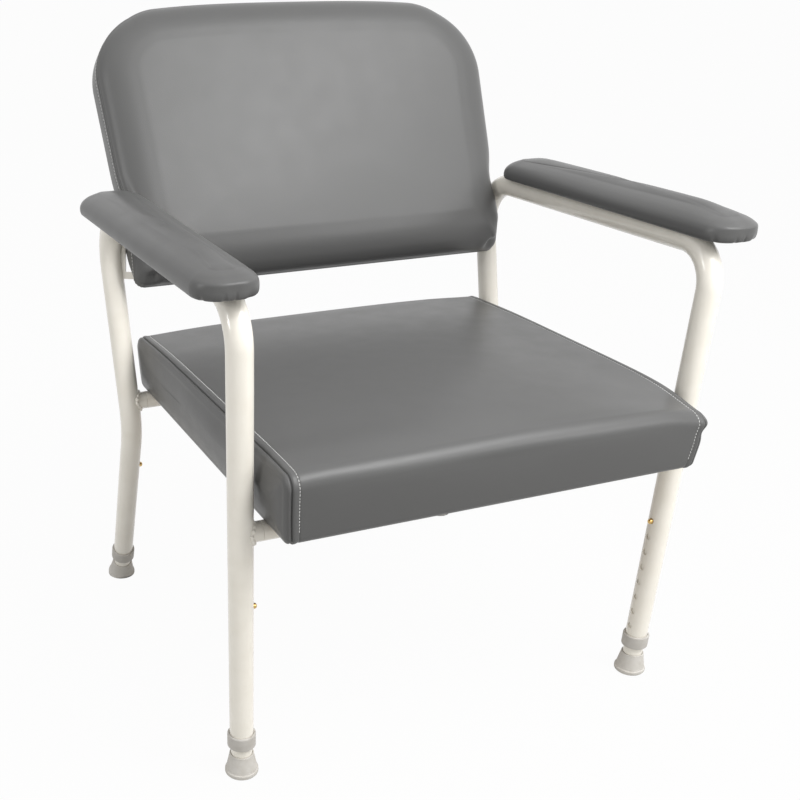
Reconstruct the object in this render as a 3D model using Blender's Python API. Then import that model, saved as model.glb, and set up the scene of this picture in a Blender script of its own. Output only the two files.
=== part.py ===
"""Bariatric day chair: bent tube side frames, telescopic legs, padded seat, back and arms.

Metres, +Z up. The sitter faces -Y; left and right are as seen from the front, so left is -X.
The origin is on the floor, midway between the sides, with the chair's box centred on it in plan.
"""
import math

import bmesh
import bpy
from mathutils import Euler, Matrix, Vector

# Fits between pieces, cover thickness, eased edges and how far a cutter reaches
GAP = 0.0003
COVER_T = 0.0018
EDGE = 0.0012
ONE_WALL = 0.014
THROUGH = 0.060

# Side frame tube, one bent tube on each side; its arm rail climbs from ARM_Z at the rear to the front bend
TUBE_R = 0.0159
TUBE_WALL = 0.0012
LEG_HALF = 0.3205
ARM_Z = 0.6305
ARM_RISE = 0.0069
BEND_R = 0.054
REAR_BEND_R = 0.064
KINK_R = 0.100
FRONT_LEG_Y = -0.2880
ARM_RAIL_LEN = 0.5345
KINK_BACK = 0.4514
KINK_Z = 0.3212
FOOT_SPREAD = 0.5779
TUBE_END = 0.0475
REAR_TOP_Y = FRONT_LEG_Y + ARM_RAIL_LEN
KINK_Y = FRONT_LEG_Y + KINK_BACK
REAR_FOOT_Y = FRONT_LEG_Y + FOOT_SPREAD

# Height adjustment: rows of holes, leg extension, button and its spring
HOLE_R = 0.00425
HOLE_PITCH = 0.025
HOLE_COUNT = 8
FRONT_BUTTON_UP = 0.2566
REAR_BUTTON_UP = 0.2640
EXT_R = 0.0143
EXT_WALL = 0.0015
EXT_START = 0.0125
EXT_ABOVE_BUTTON = 0.024
BUTTON_R = 0.0039
BUTTON_PROUD = 0.0050
BUTTON_FLANGE_R = 0.0048
BUTTON_FLANGE_T = 0.0011
BUTTON_SEAT = 0.0100
SPRING_T = 0.0008
SPRING_W = 0.0076
SPRING_LEG = 0.030
SPRING_TIP = 0.0050
SPRING_FOLD_R = 0.0040

# Collar bush on the tube's end and rubber ferrule on the extension
COLLAR_R = 0.0190
COLLAR_LOW = 0.0450
COLLAR_TOP = 0.0655
FOOT_BASE_R = 0.0226
FOOT_TOP_R = 0.0166
FOOT_TOP = 0.0330
FOOT_RIM = 0.0040
FOOT_SOLE = 0.0130

# Cross rails under the seat, each on a coped stub at either end
RAIL_R = 0.0127
RAIL_WALL = 0.0015
RAIL_Z = 0.3599
STUB_LEN = 0.0095
SPIGOT_LEN = 0.025
SEAT_BOLT_X = 0.180
BOLT_R = 0.0040
BOLT_HEAD_R = 0.0075
BOLT_HEAD_H = 0.0050

# Pads: least corner of a plan and eased edge of a board; section rows are brought to a pad's thickness
MIN_CORNER = 0.0060
BOARD_EASE = 0.0015

# Seat, between the side frames
SEAT_CLEAR = 0.0026
SEAT_HALF = LEG_HALF - TUBE_R - SEAT_CLEAR
SEAT_OVERHANG = 0.0817
SEAT_DEPTH = 0.5722
SEAT_FRONT = FRONT_LEG_Y - SEAT_OVERHANG
SEAT_REAR = SEAT_FRONT + SEAT_DEPTH
SEAT_T = 0.0972
SEAT_CORNER = 0.0350
SEAT_BOARD_T = 0.0120
BOARD_INSET = 0.0240
SEAT_ROWS = (
    (0.0200, 0.0000), (0.0085, 0.0040), (0.0020, 0.0150), (0.0000, 0.0330), (0.0005, 0.0560),
    (0.0030, 0.0710), (0.0080, 0.0800), (0.0170, 0.0860), (0.0360, 0.0898), (0.0800, 0.0930),
    (0.1500, 0.0958), (0.2300, 0.0972),
)

# Backrest, in its own tilted frame: bottom middle of the pad's mid plane, set ahead of the post at the tab
BACK_AHEAD = 0.0631
BACK_Z = 0.5355
BACK_TILT = math.radians(27.9)
BACK_CLEAR = 0.0054
BACK_FLARE = 0.0198
BACK_LOW_HALF = LEG_HALF - TUBE_R - BACK_CLEAR
BACK_TOP_HALF = BACK_LOW_HALF + BACK_FLARE
BACK_LEN = 0.3888
BACK_T = 0.0664
BACK_TOP_CORNER = 0.1230
BACK_LOW_CORNER = 0.0300
BACK_ROWS = (
    (0.0140, 0.0000), (0.0065, 0.0055), (0.0022, 0.0180), (0.0000, 0.0340), (0.0015, 0.0460),
    (0.0070, 0.0560), (0.0200, 0.0617), (0.0550, 0.0646), (0.1050, 0.0659), (0.1500, 0.0664),
)
BACK_PANEL_T = 0.0020
BACK_PANEL_SUNK = 0.0005
HOOP_CLEAR = 0.0012
HOOP_R = 0.0095
HOOP_WALL = 0.0015
HOOP_IN = 0.0272
HOOP_HALF = BACK_LOW_HALF - HOOP_IN
HOOP_LOW = 0.0120
HOOP_DOWN = 0.0388
HOOP_TOP = BACK_LEN - HOOP_DOWN
HOOP_BEND_R = 0.0900
BACK_BOARD_T = 0.0090
TAB_Z = 0.5620
TAB_TALL = 0.0520
TAB_WIDE = 0.0040
TAB_BAR = 0.0100
TAB_T = 0.0050
SLOT_SLACK = 0.0008

# Arm pads, set out of line with the rail; the cover hangs a little below the board beside the rail
ARM_OUT = 0.0150
ARM_OVERHANG = 0.0244
ARM_PAD_LEN = 0.4855
ARM_FRONT = FRONT_LEG_Y - ARM_OVERHANG
ARM_REAR = ARM_FRONT + ARM_PAD_LEN
ARM_T = 0.0240
ARM_FRONT_HALF = 0.0387
ARM_REAR_HALF = 0.0475
ARM_FRONT_CORNER = 0.0330
ARM_REAR_CORNER = 0.0400
ARM_BOARD_T = 0.0090
ARM_BOARD_INSET = 0.0075
ARM_ROWS = (
    (0.0030, -0.0040), (0.0005, -0.0010), (0.0000, 0.0085), (0.0028, 0.0160), (0.0085, 0.0205),
    (0.0175, 0.0230), (0.0300, 0.0240),
)
SCREW_R = 0.0025
SCREW_HEAD_R = 0.0048
SCREW_HEAD_H = 0.0032
ARM_SCREW_IN = 0.1194
ARM_SCREW_PITCH = 0.2750
ARM_SCREW_FRONT_Y = ARM_FRONT + ARM_SCREW_IN
ARM_SCREW_REAR_Y = ARM_SCREW_FRONT_Y + ARM_SCREW_PITCH

# Derived places
ARM_TOP = ARM_Z + TUBE_R + GAP
SEAT_Z = RAIL_Z + RAIL_R + GAP
POST_DIR = Vector((0.0, REAR_TOP_Y - KINK_Y, ARM_Z - KINK_Z)).normalized()
REAR_LEG_DIR = Vector((0.0, KINK_Y - REAR_FOOT_Y, KINK_Z)).normalized()
REAR_TILT = math.atan2(REAR_FOOT_Y - KINK_Y, KINK_Z)
BACK_EULER = Euler((-BACK_TILT, 0.0, 0.0))
HOOP_Y = BACK_T / 2 - BACK_PANEL_T - HOOP_CLEAR - HOOP_R


def section(rows, thickness):
    """A pad's (inset, height) rows brought to its thickness; the last row is its highest."""
    scale = thickness / rows[-1][1]
    return tuple((inset * scale, height * scale) for inset, height in rows)


SEAT_PROFILE = section(SEAT_ROWS, SEAT_T)
BACK_PROFILE = section(BACK_ROWS, BACK_T)
ARM_PROFILE = section(ARM_ROWS, ARM_T)


def rail_z(y):
    """Z of the arm rail's centre line at y, between the bends."""
    return ARM_Z + ARM_RISE * (REAR_TOP_Y - y) / ARM_RAIL_LEN


def post_y(z):
    """Y of the rear post's centre line at height z, above the kink."""
    return KINK_Y + POST_DIR.y / POST_DIR.z * (z - KINK_Z)


BACK_ORIGIN = Vector((0.0, post_y(TAB_Z) - BACK_AHEAD, BACK_Z))


def make_material(name, rgb, roughness, metallic=0.0):
    """Plain Principled material."""
    mat = bpy.data.materials.new(name)
    mat.use_nodes = True
    shader = mat.node_tree.nodes["Principled BSDF"]
    shader.inputs["Base Color"].default_value = (rgb[0], rgb[1], rgb[2], 1.0)
    shader.inputs["Roughness"].default_value = roughness
    shader.inputs["Metallic"].default_value = metallic
    mat.diffuse_color = (rgb[0], rgb[1], rgb[2], 1.0)
    return mat


def add_object(name, verts, faces, mat, sharp=35.0):
    """Mesh object with outward normals, smooth except across edges sharper than the angle."""
    mesh = bpy.data.meshes.new(name)
    mesh.from_pydata([tuple(v) for v in verts], [], faces)
    bm = bmesh.new()
    bm.from_mesh(mesh)
    bmesh.ops.triangulate(bm, faces=[face for face in bm.faces if len(face.verts) > 4])
    bmesh.ops.recalc_face_normals(bm, faces=bm.faces)
    for face in bm.faces:
        face.smooth = True
    bm.to_mesh(mesh)
    bm.free()
    mesh.set_sharp_from_angle(angle=math.radians(sharp))
    obj = bpy.data.objects.new(name, mesh)
    bpy.context.scene.collection.objects.link(obj)
    if mat is not None:
        mesh.materials.append(mat)
    return obj


def strip(start_a, start_b, count, closed=True):
    """Quads joining two rows of count vertices."""
    faces = []
    last = count if closed else count - 1
    for i in range(last):
        j = (i + 1) % count
        faces.append((start_a + i, start_a + j, start_b + j, start_b + i))
    return faces


def fillet_path(corners, radii, step=math.radians(15.0)):
    """Points along a flat polyline in (y, z) with an arc of the given radius at each inner corner."""
    points = [Vector(corners[0])]
    for k in range(1, len(corners) - 1):
        here = Vector(corners[k])
        into = (here - Vector(corners[k - 1])).normalized()
        out = (Vector(corners[k + 1]) - here).normalized()
        turn = into.angle(out)
        reach = radii[k - 1] * math.tan(turn / 2)
        side = Vector((-into.y, into.x))
        if side.dot(out) < 0:
            side = -side
        first = here - into * reach
        centre = first + side * radii[k - 1]
        count = max(3, math.ceil(turn / step))
        for i in range(count + 1):
            a = turn * i / count
            points.append(centre - side * radii[k - 1] * math.cos(a) + into * radii[k - 1] * math.sin(a))
    points.append(Vector(corners[-1]))
    return points


def bent_tube(name, path, x, outer, inner, segs, mat):
    """Tube along a (y, z) path in the plane at x, open at both ends; a solid rod where inner is 0."""
    verts = []
    count = len(path)
    for radius in (outer, inner) if inner else (outer,):
        for k in range(count):
            ahead = path[min(k + 1, count - 1)] - path[k]
            behind = path[k] - path[max(k - 1, 0)]
            ahead = ahead.normalized() if ahead.length > 0 else behind.normalized()
            behind = behind.normalized() if behind.length > 0 else ahead
            along = (ahead + behind).normalized()
            mitre = 1.0 / math.cos(ahead.angle(behind) / 2)
            across = Vector((-along.y, along.x)) * mitre
            for i in range(segs):
                a = 2 * math.pi * (i + 0.5) / segs
                flat = path[k] + across * radius * math.sin(a)
                verts.append((x + radius * math.cos(a), flat.x, flat.y))
    faces = []
    bore = count * segs
    last = (count - 1) * segs
    for k in range(count - 1):
        faces += strip(k * segs, (k + 1) * segs, segs)
        if inner:
            faces += strip(bore + k * segs, bore + (k + 1) * segs, segs)
    if inner:
        faces += strip(0, bore, segs)
        faces += strip(last, bore + last, segs)
    else:
        faces += [tuple(range(segs)), tuple(range(last, last + segs))]
    return add_object(name, verts, faces, mat)


def turned(name, profile, segs, mat, axis="Z"):
    """Body turned from a closed (radius, height) profile; rows at radius 0 become one point."""
    verts = []
    rows = []
    for radius, height in profile:
        rows.append((len(verts), radius))
        steps = 1 if radius == 0.0 else segs
        for i in range(steps):
            a = 2 * math.pi * (i + 0.5) / segs
            point = Vector((radius * math.cos(a), radius * math.sin(a), height))
            if axis == "X":
                point = Vector((point.z, point.x, point.y))
            verts.append(point)
    faces = []
    pairs = list(zip(rows, rows[1:] + rows[:1]))
    for (a, ra), (b, rb) in pairs:
        if ra > 0.0 and rb > 0.0:
            faces += strip(a, b, segs)
        elif ra > 0.0:
            faces += [(a + i, a + (i + 1) % segs, b) for i in range(segs)]
        elif rb > 0.0:
            faces += [(b + i, b + (i + 1) % segs, a) for i in range(segs)]
    return add_object(name, verts, faces, mat)


def rods(name, places, radius, length, segs=12):
    """Cutter made of straight rods; each place is a middle point and a direction."""
    bm = bmesh.new()
    for middle, direction in places:
        spin = direction.to_track_quat("Z", "Y").to_matrix().to_4x4()
        bmesh.ops.create_cone(
            bm, cap_ends=True, segments=segs, radius1=radius, radius2=radius, depth=length,
            matrix=Matrix.Translation(middle) @ spin)
    return cutter_from(name, bm)


def cutter_from(name, bm):
    """Hidden cutter object holding a bmesh."""
    mesh = bpy.data.meshes.new(name)
    bmesh.ops.recalc_face_normals(bm, faces=bm.faces)
    bm.to_mesh(mesh)
    bm.free()
    obj = bpy.data.objects.new(name, mesh)
    bpy.context.scene.collection.objects.link(obj)
    obj.hide_render = True
    obj.display_type = "WIRE"
    return obj


def cut(obj, cutter):
    """Exact Boolean difference."""
    mod = obj.modifiers.new("Cut " + cutter.name, "BOOLEAN")
    mod.operation = "DIFFERENCE"
    mod.solver = "EXACT"
    mod.object = cutter


def outline(half_low, half_high, low, high, r_low, r_high, inset, steps=5):
    """Plan of a rounded, tapering panel, drawn in by inset; low is the -v end, high the +v end."""
    points = []
    mid_half = (half_low + half_high) / 2
    corners = (
        (1, low, r_low, -90.0), (1, high, r_high, 0.0), (-1, high, r_high, 90.0), (-1, low, r_low, 180.0))
    for sign, end, radius, start in corners:
        r = max(radius - inset, MIN_CORNER)
        inward = 1.0 if end == low else -1.0
        cu = sign * (mid_half - inset - r)
        cv = end + inward * (inset + r)
        for i in range(steps + 1):
            a = math.radians(start + 90.0 * i / steps)
            points.append((cu + r * math.cos(a), cv + r * math.sin(a)))
    shaped = []
    for u, v in points:
        t = (v - low) / (high - low)
        shaped.append((u * (half_low + (half_high - half_low) * t) / mid_half, v))
    return shaped


def offset_profile(profile, depth):
    """The (inset, height) profile moved inward along its own normal by depth."""
    moved = []
    for k, here in enumerate(profile):
        before = profile[max(k - 1, 0)]
        after = profile[min(k + 1, len(profile) - 1)]
        along = Vector((after[0] - before[0], after[1] - before[1])).normalized()
        moved.append((here[0] + along.y * depth, here[1] - along.x * depth))
    return moved


def trim_profile(profile, floor):
    """The part of a profile above a floor height, starting exactly on it."""
    kept = [p for p in profile if p[1] > floor + GAP]
    below = [p for p in profile if p[1] <= floor + GAP]
    low = below[-1]
    high = kept[0]
    t = (floor - low[1]) / (high[1] - low[1])
    return [(low[0] + (high[0] - low[0]) * t, floor)] + kept


def lofted(profiles, plan, place):
    """Rows of points: one plan outline for every (inset, height) in the profiles."""
    verts = []
    for inset, height in profiles:
        for u, v in plan(inset):
            verts.append(place(u, v, height))
    return verts


def padded_cover(name, plan, profile, place, mat):
    """Upholstery skin: the crowned form, its inner face COVER_T further in, open at the first row."""
    inner = offset_profile(profile, COVER_T)
    inner[0] = (profile[0][0] + COVER_T, profile[0][1])
    verts = lofted(list(profile) + inner, plan, place)
    count = len(plan(0.0))
    rows = len(profile)
    faces = []
    for base in (0, rows):
        for k in range(rows - 1):
            faces += strip((base + k) * count, (base + k + 1) * count, count)
        faces.append(tuple(range((base + rows - 1) * count, (base + rows) * count)))
    faces += strip(0, rows * count, count)
    return add_object(name, verts, faces, mat, 50.0)


def padded_core(name, plan, profile, floor, place, mat):
    """Foam that fills a cover from a floor height up, with a seating gap all round."""
    inner = trim_profile(offset_profile(profile, COVER_T + GAP), floor)
    verts = lofted(inner, plan, place)
    count = len(plan(0.0))
    faces = [tuple(range(count))]
    for k in range(len(inner) - 1):
        faces += strip(k * count, (k + 1) * count, count)
    faces.append(tuple(range((len(inner) - 1) * count, len(inner) * count)))
    return add_object(name, verts, faces, mat, 50.0)


def panel(name, plan, inset, low, high, place, mat, bevel=BOARD_EASE):
    """Flat board with a plan outline between two heights and eased edges."""
    verts = lofted([(inset, low), (inset, high)], plan, place)
    count = len(plan(0.0))
    faces = [tuple(range(count)), tuple(range(count, 2 * count))] + strip(0, count, count)
    obj = add_object(name, verts, faces, mat)
    if bevel:
        mod = obj.modifiers.new("Eased edge", "BEVEL")
        mod.width = bevel
        mod.segments = 1
        mod.limit_method = "ANGLE"
        mod.angle_limit = math.radians(60.0)
    return obj


def sheet_strip(name, path, thickness, width, mat):
    """Flat spring bent along an (x, z) path, of even thickness and width along y."""
    verts = []
    count = len(path)
    for side in (-0.5, 0.5):
        for k in range(count):
            ahead = Vector(path[min(k + 1, count - 1)])
            behind = Vector(path[max(k - 1, 0)])
            along = (ahead - behind).normalized()
            across = Vector((-along.y, along.x)) * thickness * side
            point = Vector(path[k]) + across
            verts.append((point.x, -width / 2, point.y))
            verts.append((point.x, width / 2, point.y))
    faces = []
    back = 2 * count
    for k in range(count - 1):
        a = 2 * k
        faces.append((a, a + 1, a + 3, a + 2))
        faces.append((back + a, back + a + 2, back + a + 3, back + a + 1))
        faces.append((a, a + 2, back + a + 2, back + a))
        faces.append((a + 1, back + a + 1, back + a + 3, a + 3))
    faces.append((0, back, back + 1, 1))
    end = back - 2
    faces.append((end, end + 1, back + end + 1, back + end))
    return add_object(name, verts, faces, mat)


def side_path():
    """Centre line of a side frame: front leg, arm rail, reclined rear post, kink, splayed rear leg."""
    rear_end = Vector((REAR_FOOT_Y, 0.0)) + Vector((REAR_LEG_DIR.y, REAR_LEG_DIR.z)) * TUBE_END
    corners = (
        (FRONT_LEG_Y, TUBE_END), (FRONT_LEG_Y, ARM_Z + ARM_RISE), (REAR_TOP_Y, ARM_Z), (KINK_Y, KINK_Z),
        tuple(rear_end))
    return fillet_path(corners, (BEND_R, REAR_BEND_R, KINK_R))


def frame_cutter(name, side):
    """Cutter in the shape of a side frame, with a seating gap, for what is coped or notched round it."""
    obj = bent_tube(name, side_path(), side * LEG_HALF, TUBE_R + GAP, 0.0, 20, None)
    obj.hide_render = True
    obj.display_type = "WIRE"
    return obj


def build_side_frame(name, side, mat):
    """One bent tube: a row of holes in each leg, and screw holes in the arm rail with access from below."""
    obj = bent_tube(name, side_path(), side * LEG_HALF, TUBE_R, TUBE_R - TUBE_WALL, 20, mat)
    inward = Vector((-side, 0.0, 0.0))
    places = []
    for foot_y, direction, up in (
            (FRONT_LEG_Y, Vector((0.0, 0.0, 1.0)), FRONT_BUTTON_UP),
            (REAR_FOOT_Y, REAR_LEG_DIR, REAR_BUTTON_UP)):
        foot = Vector((side * LEG_HALF, foot_y, 0.0))
        for k in range(HOLE_COUNT):
            places.append((foot + direction * (up - k * HOLE_PITCH) + inward * TUBE_R, inward))
    cut(obj, rods(name + "_hole_cutter", places, HOLE_R, ONE_WALL, 10))
    up = Vector((0.0, 0.0, 1.0))
    spots = [Vector((side * LEG_HALF, y, rail_z(y))) for y in (ARM_SCREW_FRONT_Y, ARM_SCREW_REAR_Y)]
    above = [(spot + up * TUBE_R, up) for spot in spots]
    below = [(spot - up * TUBE_R, up) for spot in spots]
    cut(obj, rods(name + "_screw_cutter", above, SCREW_R + GAP, ONE_WALL, 8))
    cut(obj, rods(name + "_access_cutter", below, SCREW_HEAD_R + 2 * GAP, ONE_WALL, 10))
    return obj


def build_leg(prefix, side, foot_y, tilt, button_up, mats):
    """Collar on the frame, and the sliding extension with its foot, spring and brass button."""
    base = Vector((side * LEG_HALF, foot_y, 0.0))
    turn = Euler((tilt, 0.0, 0.0))
    collar_bore = TUBE_R + GAP
    lip_bore = EXT_R + GAP
    collar = turned(prefix + "_collar", (
        (COLLAR_R - EDGE, COLLAR_LOW), (COLLAR_R, COLLAR_LOW + EDGE), (COLLAR_R, COLLAR_TOP - 2 * EDGE),
        (COLLAR_R - EDGE, COLLAR_TOP), (collar_bore, COLLAR_TOP - EDGE / 2),
        (collar_bore, TUBE_END - GAP), (lip_bore, TUBE_END - GAP), (lip_bore, COLLAR_LOW)), 18, mats["collar"])
    collar.location = base
    collar.rotation_euler = turn

    top = button_up + EXT_ABOVE_BUTTON
    bore = EXT_R - EXT_WALL
    leg = turned(prefix + "_leg", (
        (EXT_R, EXT_START), (EXT_R, top - EDGE), (EXT_R - EDGE / 2, top), (bore, top), (bore, EXT_START)),
        20, mats["tube"])
    leg.location = base
    leg.rotation_euler = turn
    inward = Vector((-side, 0.0, 0.0))
    hole = base + turn.to_matrix() @ Vector((0.0, 0.0, button_up)) + inward * EXT_R
    cut(leg, rods(prefix + "_leg_cutter", [(hole, inward)], HOLE_R, ONE_WALL, 10))

    depth = FOOT_SOLE if tilt else 0.0
    foot = turned(prefix + "_foot", (
        (0.0, -depth), (FOOT_BASE_R - EDGE, -depth), (FOOT_BASE_R, EDGE), (FOOT_BASE_R, FOOT_RIM),
        (FOOT_BASE_R - EDGE, FOOT_RIM + 2 * EDGE), (FOOT_TOP_R, FOOT_TOP - 2 * EDGE),
        (FOOT_TOP_R - EDGE, FOOT_TOP), (lip_bore, FOOT_TOP), (lip_bore, EXT_START - GAP),
        (0.0, EXT_START - GAP)), 18, mats["rubber"])
    foot.location = base
    foot.rotation_euler = turn
    if tilt:
        bm = bmesh.new()
        below = Matrix.Translation(base - Vector((0.0, 0.0, THROUGH)))
        bmesh.ops.create_cube(bm, size=2 * THROUGH, matrix=below)
        cut(foot, cutter_from(prefix + "_floor_cutter", bm))

    shoulder = BUTTON_SEAT + BUTTON_FLANGE_T
    nose = TUBE_R + BUTTON_PROUD
    dome = BUTTON_R * 0.9
    button = turned(prefix + "_button", (
        (0.0, BUTTON_SEAT), (BUTTON_FLANGE_R, BUTTON_SEAT), (BUTTON_FLANGE_R, shoulder), (BUTTON_R, shoulder),
        (BUTTON_R, nose - dome), (BUTTON_R * 0.86, nose - dome * 0.45), (BUTTON_R * 0.5, nose - dome * 0.12),
        (0.0, nose)), 12, mats["brass"], "X")
    for vertex in button.data.vertices:
        vertex.co.x *= -side
    if side > 0:
        button.data.flip_normals()
    button.parent = leg
    button.location = (0.0, 0.0, button_up)

    front = BUTTON_SEAT - GAP - SPRING_T / 2
    rear = SPRING_T / 2 - math.sqrt((bore - 2 * GAP) ** 2 - (SPRING_W / 2) ** 2)
    path = [(front, SPRING_TIP), (front, -SPRING_TIP), (front - SPRING_FOLD_R * 0.75, -SPRING_LEG * 0.6)]
    middle = (front + rear) / 2 - SPRING_FOLD_R * 0.4
    for i in range(7):
        a = math.pi * i / 6
        path.append((middle + SPRING_FOLD_R * math.cos(a), -SPRING_LEG - SPRING_FOLD_R * math.sin(a)))
    path += [(rear, -SPRING_LEG * 0.45), (rear, SPRING_TIP)]
    path = [(-side * x, z) for x, z in path]
    spring = sheet_strip(prefix + "_spring", path, SPRING_T, SPRING_W, mats["steel"])
    spring.parent = leg
    spring.location = (0.0, 0.0, button_up)


def build_rail(prefix, y, post_dir, mats):
    """Cross rail butted on two coped stubs whose spigots run inside it."""
    seam = LEG_HALF - TUBE_R - STUB_LEN
    bore = RAIL_R - RAIL_WALL
    rail = turned(prefix + "_rail", (
        (RAIL_R, -seam + GAP), (RAIL_R, seam - GAP), (bore, seam - GAP), (bore, -seam + GAP)),
        16, mats["tube"], "X")
    rail.location = (0.0, y, RAIL_Z)
    up = Vector((0.0, 0.0, 1.0))
    bolts = [(Vector((x, y, RAIL_Z)), up) for x in (-SEAT_BOLT_X, SEAT_BOLT_X)]
    cut(rail, rods(prefix + "_rail_cutter", bolts, BOLT_R + GAP, THROUGH, 12))
    spigot = bore - GAP
    for label, side in (("left", -1), ("right", 1)):
        stub = turned(prefix + "_" + label + "_stub", (
            (RAIL_R, side * LEG_HALF), (RAIL_R, side * seam), (spigot, side * seam),
            (spigot, side * (seam - SPIGOT_LEN)), (spigot - RAIL_WALL, side * (seam - SPIGOT_LEN)),
            (spigot - RAIL_WALL, side * LEG_HALF)), 16, mats["tube"], "X")
        stub.location = (0.0, y, RAIL_Z)
        middle = Vector((side * LEG_HALF, y, RAIL_Z))
        cut(stub, rods(prefix + "_" + label + "_cope_cutter", [(middle, post_dir)], TUBE_R + GAP, THROUGH, 32))
        head = RAIL_Z - RAIL_R - GAP
        tip = SEAT_Z + SEAT_BOARD_T - EDGE
        bolt = turned(prefix + "_" + label + "_seat_bolt", (
            (0.0, head - BOLT_HEAD_H), (BOLT_HEAD_R * 0.7, head - BOLT_HEAD_H),
            (BOLT_HEAD_R, head - BOLT_HEAD_H * 0.55), (BOLT_HEAD_R, head), (BOLT_R, head),
            (BOLT_R, tip - EDGE), (BOLT_R - EDGE, tip), (0.0, tip)), 8, mats["steel"])
        bolt.location = (side * SEAT_BOLT_X, y, 0.0)


def build_seat(rail_ys, mats):
    """Waterfall seat cushion: plywood, foam and vinyl cover."""
    def plan(inset):
        return outline(SEAT_HALF, SEAT_HALF, SEAT_FRONT, SEAT_REAR, SEAT_CORNER, SEAT_CORNER, inset)

    def place(u, v, height):
        return (u, v, SEAT_Z + height)

    board = panel("seat_board", plan, BOARD_INSET, 0.0, SEAT_BOARD_T, place, mats["ply"])
    up = Vector((0.0, 0.0, 1.0))
    spots = [(Vector((x, y, SEAT_Z)), up) for x in (-SEAT_BOLT_X, SEAT_BOLT_X) for y in rail_ys]
    cut(board, rods("seat_board_cutter", spots, BOLT_R + GAP, THROUGH, 12))
    padded_core("seat_foam", plan, SEAT_PROFILE, SEAT_BOARD_T + GAP, place, mats["foam"])
    padded_cover("seat_cover", plan, SEAT_PROFILE, place, mats["vinyl"])


def build_back(mats):
    """Backrest: steel hoop on two welded angle tabs, plywood, foam, vinyl cover and rear panel."""
    def plan(inset):
        return outline(
            BACK_LOW_HALF, BACK_TOP_HALF, 0.0, BACK_LEN, BACK_LOW_CORNER, BACK_TOP_CORNER, inset, 6)

    def place(u, v, height):
        return (u, BACK_T / 2 - height, v)

    turn = BACK_EULER.to_matrix()
    pieces = []
    corners = ((-HOOP_HALF, HOOP_LOW), (-HOOP_HALF, HOOP_TOP), (HOOP_HALF, HOOP_TOP), (HOOP_HALF, HOOP_LOW))
    path = fillet_path(corners, (HOOP_BEND_R, HOOP_BEND_R), math.radians(18.0))
    hoop = bent_tube("back_hoop", path, 0.0, HOOP_R, HOOP_R - HOOP_WALL, 10, mats["steel"])
    for vertex in hoop.data.vertices:
        across, along, up = vertex.co
        vertex.co = (along, HOOP_Y - across, up)
    pieces.append(hoop)

    board_floor = BACK_T / 2 - HOOP_Y + HOOP_R + GAP
    board = panel(
        "back_board", plan, BOARD_INSET, board_floor, board_floor + BACK_BOARD_T, place, mats["ply"])
    foam = padded_core("back_foam", plan, BACK_PROFILE, board_floor + BACK_BOARD_T + GAP, place, mats["foam"])
    cover = padded_cover("back_cover", plan, BACK_PROFILE, place, mats["vinyl"])
    mouth = BACK_PROFILE[0][0] + COVER_T + GAP
    rear_high = BACK_PANEL_SUNK + BACK_PANEL_T
    rear = panel("back_panel", plan, mouth, BACK_PANEL_SUNK, rear_high, place, mats["vinyl"], 0.0)
    pieces += [board, foam, cover, rear]
    for obj in pieces:
        obj.location = BACK_ORIGIN
        obj.rotation_euler = BACK_EULER

    for label, side in (("left", -1), ("right", 1)):
        bar_z = TAB_Z - (TAB_TALL - TAB_BAR) / 2
        post = Vector((side * LEG_HALF, post_y(bar_z), bar_z))
        climb = (bar_z - BACK_Z + HOOP_Y * math.sin(BACK_TILT)) / math.cos(BACK_TILT)
        target = BACK_ORIGIN + turn @ Vector((side * HOOP_HALF, HOOP_Y, climb))
        reach = target - post
        reach.z = 0.0
        across = reach.normalized()
        up = (POST_DIR - across * POST_DIR.dot(across)).normalized()
        thick = across.cross(up)
        run = across * reach.length
        tab = angle_plate(label + "_back_tab", post, across, reach.length, up, thick * TAB_T, mats["tube"])
        cut(tab, frame_cutter(label + "_post_cutter", side))
        hoop_dir = turn @ Vector((0.0, 0.0, 1.0))
        cut(tab, rods(label + "_hoop_cutter", [(target, hoop_dir)], HOOP_R + GAP, 2 * TAB_TALL, 24))
        slot = plate(
            label + "_slot_cutter", post, run, up * (TAB_BAR + 2 * SLOT_SLACK),
            thick * (TAB_T + 2 * SLOT_SLACK), None)
        slot.hide_render = True
        slot.display_type = "WIRE"
        cut(cover, slot)
        cut(rear, slot)


def angle_plate(name, start, across, reach, up, depth, mat):
    """L of flat bar: a strap up along the post, and at its foot a bar across to the hoop."""
    strap = TUBE_R + TAB_WIDE
    low = -TAB_BAR / 2
    high = TAB_BAR / 2
    outline_l = (
        (0.0, low), (reach, low), (reach, high), (strap, high),
        (strap, TAB_TALL + low - TAB_WIDE / 2), (strap - TAB_WIDE / 2, TAB_TALL + low), (0.0, TAB_TALL + low))
    count = len(outline_l)
    verts = []
    for share in (-0.5, 0.5):
        verts += [start + across * a + up * b + depth * share for a, b in outline_l]
    faces = [tuple(range(count)), tuple(range(count, 2 * count))] + strip(0, count, count)
    return add_object(name, verts, faces, mat)


def plate(name, start, run, rise, depth, mat):
    """Flat bar from a start point along run, centred on rise and depth."""
    verts = []
    for a in (0.0, 1.0):
        for b in (-0.5, 0.5):
            for c in (-0.5, 0.5):
                verts.append(start + run * a + rise * b + depth * c)
    faces = [(0, 1, 3, 2), (4, 6, 7, 5), (0, 4, 5, 1), (2, 3, 7, 6), (0, 2, 6, 4), (1, 5, 7, 3)]
    return add_object(name, verts, faces, mat)


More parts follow.
